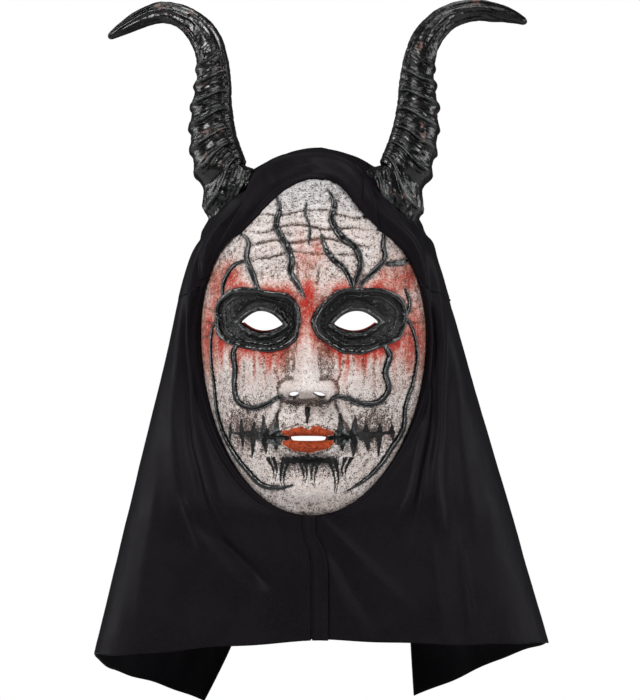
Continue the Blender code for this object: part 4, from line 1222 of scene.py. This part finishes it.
def make_half(side, name):
    """One side of the hood from the face opening round to the loose back half."""
    down, around = grid_shares(210, 190, (SEAM_TUCK_START, 0), (1, 2))
    grid = half_base(down, around, side)
    normals = grid_normals(grid, grid * LEVEL)
    hold = smooth(0.0, 0.05, around) * smooth(0.0, 0.04, 2 - around)
    tuck = 0.25 + 2.8 * smooth(-0.001, -0.011, down)
    folds = half_folds(down, around, side, grid) * hold + (opening_hem(grid) - tuck) * MM
    grid = grid + normals * folds[..., None]
    ripple = 0.6 * np.sin(around * 9 + side) + 0.4 * np.sin(around * 23 + 1)
    grid[..., 2] += ripple * MM * smooth(0.93, 1.0, down)
    grid = curl_edge(grid, 1.2 * MM)
    cloth = sheet_object(f"hood_half_{name}", grid, grid * LEVEL, CLOTH)
    dress(cloth, "hood_cloth", None, f"hood_panel_{name}", f"back_flap_{name}")
    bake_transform(cloth)
    return cloth


def crown_folds(share, along, grid):
    """Rays of small folds from each horn, waves over the top and the sides' folds carried up, in metres."""
    total = 1.4 * np.sin(2 * np.pi * (3.2 * along + 0.15 * np.sin(6 * share))) * smooth(0.0, 0.15, along)
    total += 1.0 * fractal(grid, 22 * MM, 2, 91)
    for side in SIDES:
        away = grid - np.array((side * HORN_FOOT[0] + HORN_OFFSET_X, *HORN_FOOT[1:]))
        distance = np.linalg.norm(away, axis=-1) / MM
        angle = np.arctan2(away[..., 1], away[..., 2] + 0.5 * side * away[..., 0])
        ray = np.cos(7 * angle + side) + 0.5 * np.cos(12 * angle)
        total += 1.7 * ray * np.exp(-np.maximum(distance - 20, 0) / 15) * smooth(13, 24, distance)
    total *= smooth(0.10, 0.26, share) * smooth(0.90, 0.74, share) * smooth(1.0, 0.9, along) * MM
    rise = -1.34 * np.minimum(share, 1 - share)
    for side in SIDES:
        folds = half_folds(rise, 2 * along, side, grid) * smooth(1.0, 0.9, along)
        total += np.where((share > 0.5) == (side > 0), folds * smooth(-0.42, -0.10, rise), 0)
    return total * smooth(0.0, 0.03, along)


def make_crown():
    share, along = grid_shares(190, 150)
    front, top, back = crown_edges(share)
    ahead = quarter_arc(front, top, np.minimum(along * 2, 1), False)
    behind = quarter_arc(top, back, np.maximum(along * 2 - 1, 0), True)
    grid = np.where((along < 0.5)[..., None], ahead, behind)
    normals = grid_normals(grid, grid - CROWN_CENTRE)
    grid = grid + normals * crown_folds(share, along, grid)[..., None]
    grid = curl_edge(grid, 0.6 * MM)
    crown = sheet_object("hood_top", grid, grid - CROWN_CENTRE, CLOTH)
    dress(crown, "hood_cloth", "mask", "hood_crown")
    return crown


# How far the band's lower edge hangs over the forehead, in millimetres, every 15 degrees from -60 to 60
BAND_DROP = (0, 2.5, 4.5, 3.6, 2.8, 0.8, 4.8, 1.8, 0)
# Pleats across the band: share of the width at 0 degrees and its change per degree, where behind that
# line the pleat starts and is full, its height in millimetres, and its middle and spread in degrees
BAND_PLEATS = (
    (1.05 - 2 / 36, -1 / 36, (-0.85, -0.06), 5.6, 16, 17),
    (1.05 + 14 / 30, -1 / 30, (-0.85, -0.06), 3.8, 32, 17),
    (0.30 + 48 / 62, 1 / 62, (-0.70, -0.05), 4.0, -24, 20),
)


def band_base(share, along, turn):
    """The band's place on the crown, narrower beside the horns and at its ends."""
    front, top, _ = crown_edges(share[:, 0])
    steps = np.broadcast_to(np.linspace(0, 1, 80), (len(share), 80))
    arcs = quarter_arc(front[:, None] + np.zeros((1, 80, 1)), top[:, None], steps, False)
    run = np.pad(np.linalg.norm(np.diff(arcs, axis=1), axis=-1).cumsum(1), ((0, 0), (1, 0)))
    beside_horn = bell(np.abs(turn) - math.degrees(HORN_TURN), 15)
    ends = 0.35 + 0.65 * smooth(0.0, 0.15, share) * smooth(1.0, 0.85, share)
    want = along * np.minimum(BAND_WIDTH * (1 - 0.50 * beside_horn) * ends, run[:, -1:] * 0.8)
    grid = np.empty((*share.shape, 3))
    for i, k in itertools.product(range(len(share)), range(3)):
        grid[i, :, k] = np.interp(want[i], run[i], arcs[i, :, k])
    return grid


def band_lift(share, along, turn):
    """How far the band's cloth stands off the crown, in millimetres."""
    lift = 0.9 + 2.5 * smooth(0.0, 0.42, along) - 1.8 * smooth(0.80, 1.0, along)
    ply = np.cos(2 * np.pi * (1.7 * along + 0.30 * np.sin(turn / 19) + 0.1))
    lift = lift + 1.1 * ply * smooth(0.05, 0.3, along) * smooth(1.0, 0.8, along)
    for place, slope, behind, height, middle, spread in BAND_PLEATS:
        off = along - (place + slope * turn)
        lift = lift + height * smooth(0.06, 0.0, off) * smooth(*behind, off) * bell(turn - middle, spread)
    return lift * (0.15 + 0.85 * smooth(0.02, 0.14, share) * smooth(0.98, 0.86, share))


def hang_band(grid, along, turn):
    """Lets the band's lower edge down over the forehead, just in front of the face."""
    drop = through(BAND_DROP, np.clip((turn + 60) / 120, 0, 1)) * (1 - smooth(0.0, 0.6, along)) * MM
    inward = unit(np.stack((-grid[..., 0], 0 * drop, BAND_CENTRE[2] - grid[..., 2]), -1))
    grid = grid + inward * drop[..., None]
    over_face = face_y(grid[..., 0], grid[..., 2], fine=False) - 2.8 * MM
    grid[..., 1] = np.where(drop > 0.3 * MM, np.minimum(grid[..., 1], over_face), grid[..., 1])
    return grid


def make_band():
    """The folded band of cloth round the top of the face opening, with pleats crossing it."""
    share, along = grid_shares(240, 44, (0.02, 0), (0.98, 1))
    turn = (2 * share - 1) * math.degrees(EDGE_ANGLE)
    grid = band_base(share, along, turn)
    normals = grid_normals(grid, grid - BAND_CENTRE)
    lift = band_lift(share, along, turn) + 0.35 * noise(grid, 6 * MM, 95)
    grid = hang_band(grid + normals * lift[..., None] * MM, along, turn)
    grid = curl_edge(grid, 1.4 * MM)
    band = sheet_object("hood_band", grid, grid - BAND_CENTRE, CLOTH)
    dress(band, "hood_cloth", "mask", "hood_brow_band")
    return band


def on_hood(grid, gap):
    """Points moved in depth onto the front of the hood's cloth, a gap in metres in front of it."""
    depth = np.full(grid.shape[:2], np.nan)
    for i, k in itertools.product(*map(range, grid.shape[:2])):
        start = Vector((grid[i, k, 0], -0.3, grid[i, k, 2]))
        hits = [surface.ray_cast(start, Vector((0, 1, 0)))[0] for surface in hood_surfaces]
        depth[i, k] = min((hit.y for hit in hits if hit), default=np.nan)
    rows = np.arange(len(depth))
    for k in range(depth.shape[1]):
        met = np.isfinite(depth[:, k])
        depth[:, k] = np.interp(rows, rows[met], depth[met, k])
    for _ in range(3):
        padded = np.pad(depth, 1, mode="edge")
        around = padded[:-2, 1:-1] + padded[2:, 1:-1] + padded[1:-1, :-2] + padded[1:-1, 2:]
        depth = np.minimum(around / 4, depth)
    return np.stack((grid[..., 0], depth - gap, grid[..., 2]), -1)


def placket_line(down, place):
    """Points down the placket, before they are put on the hood; place is -0.5 to 0.5 over its width."""
    line = opening_edge(np.array(np.pi)) * (1 - down)[..., None] + FRONT_HEM * down[..., None]
    drift = 6.5 * smooth(0, 0.45, down) - 2.5 * bell(down - 0.12, 0.12)
    width = 10.5 * (0.72 + 0.28 * smooth(0, 0.35, down))
    line[..., 0] += (drift + place * width) * MM
    return line


def make_placket():
    """The overlap strip down the centre front: stitched on its left edge and folded on its right one."""
    down, across = grid_shares(120, 16)
    puff = 1.0 + 0.5 * np.sin(np.pi * across) + 1.1 * smooth(0.6, 1.0, across)
    puff += 0.3 * np.sin(9 * down) * across + 0.3 * bell(down - 0.55, 0.2)
    grid = on_hood(placket_line(down, across - 0.5), puff * MM)
    grid = curl_edge(grid[:, ::-1], 1.0 * MM)
    strip = sheet_object("placket", grid, np.array((0, -1.0, 0)) + grid * 0, PLACKET_CLOTH)
    dress(strip, "hood_cloth", "mask", "front_placket")
    return strip


def stitch(number):
    """One stitch beside the placket's left edge."""
    start = FIRST_STITCH + STITCH_PITCH * number
    line = placket_line(np.linspace(start, start + STITCH_LENGTH, 5), STITCH_PLACE)
    line = on_hood(line[:, None], 0.12 * MM)[:, 0]
    return tube(line, np.full(5, 0.22 * MM), np.array((0, -1.0, 0)) + line * 0, sides=6)


def surface_tree(obj):
    return BVHTree.FromObject(obj, bpy.context.evaluated_depsgraph_get())


hood = [make_crown(), make_band()]
hood += [make_half(*half) for half in SIDES.items()]
hood_surfaces = [surface_tree(cloth) for cloth in hood]
hood_surfaces.append(surface_tree(make_placket()))
dress(join("placket_stitches", map(stitch, range(STITCH_COUNT))), "hood_cloth", "mask")


# ------------------------------------------------------------------ horns

RINGS, TIP_RINGS, RING_SIDES = 640, 14, 120
TIP_START = 0.972
HORN_STEP = 0.004
SEAT_OUT, SEAT_BACK, SEAT_SINK = 2.5 * MM, 30 * MM, 0.4 * MM


def horn_rings(share):
    """Centres, outer and front directions and radii along a horn."""
    values = through(HORN_SPINE, share)
    before, after = (through(HORN_SPINE, np.clip(share + step, 0, 1)) for step in (-HORN_STEP, HORN_STEP))
    ahead = unit(after[:, :3] - before[:, :3])
    front = unit(np.array((0, -1.0, 0)) + ahead * ahead[:, 1:2])
    outer = unit(np.cross(front, ahead))
    outer *= np.where((outer * np.array((1, 0, -1))).sum(-1) < 0, -1, 1)[:, None]
    return values[:, :3], outer, front, values[:, 3] / 2


def growth_rings(share, outward, points, phase, near_base):
    """The ridges and their doubled folds: heights in millimetres, and how much dry-brush and painted
    highlight each point takes.
    """
    crest = np.where(phase > 0, bell(phase, 0.27), bell(phase, 0.15))
    fade = 1 - smooth(0.36, 0.52, share)
    rounded = fade * smooth(-0.35, 0.95, outward)
    on_face = smooth(0.97, 0.60, outward) * smooth(-0.90, -0.62, outward) * fade
    fold = bell(phase, 0.055) + 0.55 * np.where(phase > 0, bell(phase, 0.30), bell(phase, 0.07))
    gap = 0.15 + 0.13 * smooth(-0.75, 0.25, outward)
    second = bell(phase - gap, 0.040) * smooth(0.55, 0.20, outward) * (0.6 + 0.5 * noise(points, 8 * MM, 107))
    groove = bell(phase - 0.55 * gap, 0.045) + 1.3 * bell(phase + 0.13, 0.055)
    wrinkle = bell(np.abs(phase) - 0.36, 0.03) * smooth(0.4, -0.2, outward) * near_base
    height = rounded * (2.2 * crest - 0.5)
    height = height + on_face * (1.35 * fold + 1.1 * second - 0.75 * groove + 0.8 * wrinkle)
    return height, fade * on_face * (0.9 * fold + 0.8 * second) + 0.5 * crest * rounded


def horn_height(share, angle, points, side):
    """All relief on a horn, in millimetres, and how far each point is on a crest, which sets its dry-brush
    and painted highlight.
    """
    outward = np.cos(angle)
    near_base = smooth(0.22, 0.04, share)
    rise = (0.66 + 0.45 * near_base) * smooth(0.65, -1.0, outward)
    rings = 15.2 * share - rise
    rings = rings + 0.05 * noise(points, 17 * MM, 101 + side) + 0.02 * noise(points, 5 * MM, 103)
    phase = rings - 0.42 - np.floor(rings - 0.42 + 0.5)
    height, worn = growth_rings(share, outward, points, phase, near_base)
    above_base = smooth(0.02, 0.10, share)
    edge_line = bell(angle - np.pi * 0.80, 0.075) * above_base
    height = height + 1.1 * edge_line - 0.9 * bell(angle - np.pi * 0.74, 0.07) * above_base
    grooves = np.cos(5 * angle + 5 * share + side) + 0.7 * np.cos(11 * angle - 9 * share)
    height = height + 0.42 * grooves * smooth(0.42, 0.66, share) * smooth(1.0, 0.90, share)
    rough = 0.34 * fractal(points, 7 * MM, 3, 111 + side) + 0.13 * noise(points, 1.7 * MM, 117)
    height = height + rough * smooth(1.05, 0.75, share)
    fade = 1 - smooth(0.36, 0.52, share)
    own = np.full_like(outward, side + 5.0)
    wrinkled = np.stack((7 * rings, 1.6 * outward + 9, own), -1)
    height = height + fade * (0.30 * noise(wrinkled, 1, 131) + 0.13 * noise(wrinkled * (2.1, 1.8, 1), 1, 133))
    stretched = np.stack((26 * share, 5 * np.abs(angle - np.pi), own), -1)
    height = height + (1 - fade) * 0.45 * noise(stretched, 1, 135) * smooth(1.0, 0.85, share)
    collar = 2.6 + 2.0 * noise(points, 8 * MM, 121) + 1.1 * noise(points, 3.5 * MM, 123)
    height = height + smooth(0.050, 0.022, share) * collar - 1.6 * bell(share - 0.062, 0.012)
    # The crest value, with the inner edge line and the collar, sets the dry-brushed grey and the painted
    # highlight.
    return height, np.clip(worn + 0.9 * edge_line + 0.5 * smooth(0.05, 0.02, share), 0, 1)


def horn_seat(ring, side):
    """The foot ring carried along the horn's own slope onto the hood's cloth."""
    inward = unit(np.array((-0.50 * side, 0.36, -0.79)))
    seat = ring.copy()
    for k, point in enumerate(ring):
        hits = [cloth.ray_cast(Vector(point - inward * SEAT_BACK), Vector(inward)) for cloth in hood_surfaces]
        hits = [(distance, place) for place, _, _, distance in hits if place]
        if hits:
            seat[k] = np.array(min(hits, key=lambda found: found[0])[1]) + inward * SEAT_SINK
    return seat


def make_horn(side, name):
    share = np.concatenate((np.linspace(0, 0.97, RINGS - TIP_RINGS), np.linspace(TIP_START, 1.0, TIP_RINGS)))
    centre, outer, front, radius = horn_rings(share)
    past_tip = np.clip((share - TIP_START) / (1 - TIP_START), 0, 1)
    round_off = np.sqrt(np.maximum(0, 1 - past_tip**2))
    radius = radius * np.where(share > TIP_START, np.maximum(round_off, 0.02), 1)
    angle = np.linspace(0, 2 * np.pi, RING_SIDES, endpoint=False)
    spoke = outer[:, None] * np.cos(angle)[None, :, None] + front[:, None] * np.sin(angle)[None, :, None]
    grid = centre[:, None] + spoke * radius[:, None, None]
    grid[..., 0] = grid[..., 0] * side + HORN_OFFSET_X
    grid[..., 2] -= HORN_TIP_DROP[side] * smooth(0.72, 1.0, share)[:, None]
    spoke = spoke * np.array((side, 1, 1))

    collar_at = int(np.searchsorted(share, COLLAR_SHARE))
    seat = horn_seat(grid[0] + spoke[0] * SEAT_OUT, side)
    blend = (share[:collar_at] / share[collar_at])[:, None, None]
    grid[:collar_at] = seat[None] * (1 - blend) + grid[collar_at][None] * blend
    spoke[:collar_at] = unit(grid - grid.mean(1, keepdims=True))[:collar_at]
    wide, turn = np.broadcast_arrays(share[:, None], angle[None])
    height, crest = horn_height(wide, turn, grid, side)
    thin = smooth(0.0, 9 * MM, radius)[:, None] * smooth(0.0, 0.01, wide + 0.006)
    grid = grid + spoke * (height * thin * MM)[..., None]
    ends = [list(range(start, start + RING_SIDES)) for start in (0, (RINGS - 1) * RING_SIDES)]
    ends[0 if side < 0 else 1].reverse()
    faces = grid_faces(RINGS, RING_SIDES, wrap=True, flip=side < 0) + ends
    horn = mesh_object(f"horn_skin_{name}", grid, faces, {"crest": crest})
    editable = bmesh.new()
    editable.from_mesh(horn.data)
    bmesh.ops.recalc_face_normals(editable, faces=editable.faces)
    editable.to_mesh(horn.data)
    editable.free()
    dress(horn, "horn_black", "mask", f"horn_{name}", f"horn_core_{name}")


for horn_side, horn_name in SIDES.items():
    make_horn(horn_side, horn_name)


# ------------------------------------------------------------------ strap and its fastenings

STRAP_END_SHARE = 0.12
STRAP_INSET = 0.7 * MM
STRAP_RIBS = 7
STRAP_PARTS = {"strap_rivet": "rivet_metal", "strap_washer": "washer_plastic", "strap_pad": "foam"}


def strap_path(share, low, high):
    """The elastic's middle line: straight back from each end, then round behind the head."""
    inner = np.clip((share - STRAP_END_SHARE) / (1 - 2 * STRAP_END_SHARE), 0, 1) * np.pi
    run = np.minimum(share, 1 - share) / STRAP_END_SHARE
    x = (high.x - STRAP_INSET) * np.cos(inner)
    y = np.where(run < 1, low.y * (1 - run), (high.y - STRAP_INSET) * np.sin(inner))
    return x, y, run


def make_strap():
    """The elastic: a ribbed band with corded edges, at the CAD band's own place."""
    low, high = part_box("strap_band")
    share, across = grid_shares(260, 33)
    x, y, run = strap_path(share, low, high)
    middle = (low.z + high.z) / 2
    round_end = np.sqrt(np.maximum(0, 1 - np.maximum(0, 1 - run * 5) ** 2))
    z = middle + (across - 0.5) * (high.z - low.z) * (0.55 + 0.45 * round_end)
    grid = np.stack((x, y, z), -1)
    normals = grid_normals(grid, grid * LEVEL)
    cords = 0.25 * (bell(across, 0.05) + bell(1 - across, 0.05))
    ribs = 0.16 * np.cos(2 * np.pi * STRAP_RIBS * across) + 0.05 * np.cos(share * 900)
    grid = grid + normals * ((0.5 + cords + ribs) * MM)[..., None]
    strap = sheet_object("elastic_strap", grid, grid * LEVEL, 1.2 * MM)
    dress(strap, "elastic", "strap", "strap_band")


make_strap()
for side_name in SIDES.values():
    for node, material in STRAP_PARTS.items():
        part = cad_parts[f"{node}_{side_name}"]
        part.data.materials.clear()
        part.data.materials.append(MATERIALS[material])


# ------------------------------------------------------------------ light, floor and camera

VIEW_HEIGHT = 501.2 * MM
VIEW_CENTRE = (2.15 * MM, -18.6 * MM)
DISTANCE = 3.0
AZIMUTH = math.radians(4)
SENSOR = 36
FLOOR_DROP, FLOOR_HALF_WIDTH, FLOOR_FRONT, FLOOR_BACK = 20 * MM, 1.2, -0.9, 0.29
WORLD_LIGHT, WORLD_SEEN = 0.06, 1.0
# Soft boxes: name, place and size in metres, and power in watts; all face the origin
LIGHTS = (
    ("key", (-1.3, -2.1, 1.5), (0.7, 0.7), 60),
    ("fill", (1.6, -1.9, 0.7), (0.6, 0.6), 30),
    ("rim_left", (-1.5, 0.3, 0.4), (0.25, 1.5), 12),
    ("rim_right", (1.5, 0.3, 0.4), (0.25, 1.5), 12),
    ("top", (0, -0.2, 1.9), (0.9, 0.9), 14),
)


def placed(name, data, place, target):
    """An object at a place in the scene, looking at a target."""
    obj = bpy.data.objects.new(name, data)
    bpy.context.scene.collection.objects.link(obj)
    obj.location = place
    obj.rotation_euler = (Vector(target) - Vector(place)).to_track_quat("-Z", "Y").to_euler()
    return obj


def add_camera():
    data = bpy.data.cameras.new("camera")
    data.sensor_width = SENSOR
    data.lens = SENSOR * DISTANCE / VIEW_HEIGHT
    data.clip_end = 50
    right = Vector((math.cos(AZIMUTH), math.sin(AZIMUTH), 0))
    back = Vector((math.sin(AZIMUTH), -math.cos(AZIMUTH), 0))
    target = right * VIEW_CENTRE[0]
    target.z = VIEW_CENTRE[1]
    bpy.context.scene.camera = placed("camera", data, target + back * DISTANCE, target)


def add_light(name, place, size, power):
    data = bpy.data.lights.new(name, "AREA")
    data.shape = "RECTANGLE"
    data.size, data.size_y = size
    data.energy = power
    placed(name, data, place, (0, 0, 0)).visible_camera = False


def add_world():
    """White behind everything the camera sees, and a faint light all round."""
    world = bpy.data.worlds.new("studio")
    world.use_nodes = True
    bpy.context.scene.world = world
    nodes, links = world.node_tree.nodes, world.node_tree.links
    background = nodes["Background"]
    background.inputs["Color"].default_value = (1, 1, 1, 1)
    seen = nodes.new("ShaderNodeLightPath").outputs["Is Camera Ray"]
    level = nodes.new("ShaderNodeMapRange")
    level.inputs["To Min"].default_value = WORLD_LIGHT
    level.inputs["To Max"].default_value = WORLD_SEEN
    links.new(seen, level.inputs["Value"])
    links.new(level.outputs["Result"], background.inputs["Strength"])


def add_floor():
    level = CAD_BOX[0].z - FLOOR_DROP
    outline = ((-1, FLOOR_FRONT), (1, FLOOR_FRONT), (1, FLOOR_BACK), (-1, FLOOR_BACK))
    floor = mesh_object("floor", [(side * FLOOR_HALF_WIDTH, y, level) for side, y in outline], [[0, 1, 2, 3]])
    p = Paint("pale_floor")
    floor.data.materials.append(p.finish(
        Base_Color=p.mix(p.noise(6, 2, 0.5), (0.60, 0.60, 0.60), (0.64, 0.64, 0.64)), Roughness=0.9,
        Specular_IOR_Level=0.1, Emission_Color=(1.0, 1.0, 1.0), Emission_Strength=0.12,
    ))


bpy.context.scene.view_settings.view_transform = "Standard"
add_camera()
add_world()
add_floor()
for lamp in LIGHTS:
    add_light(*lamp)
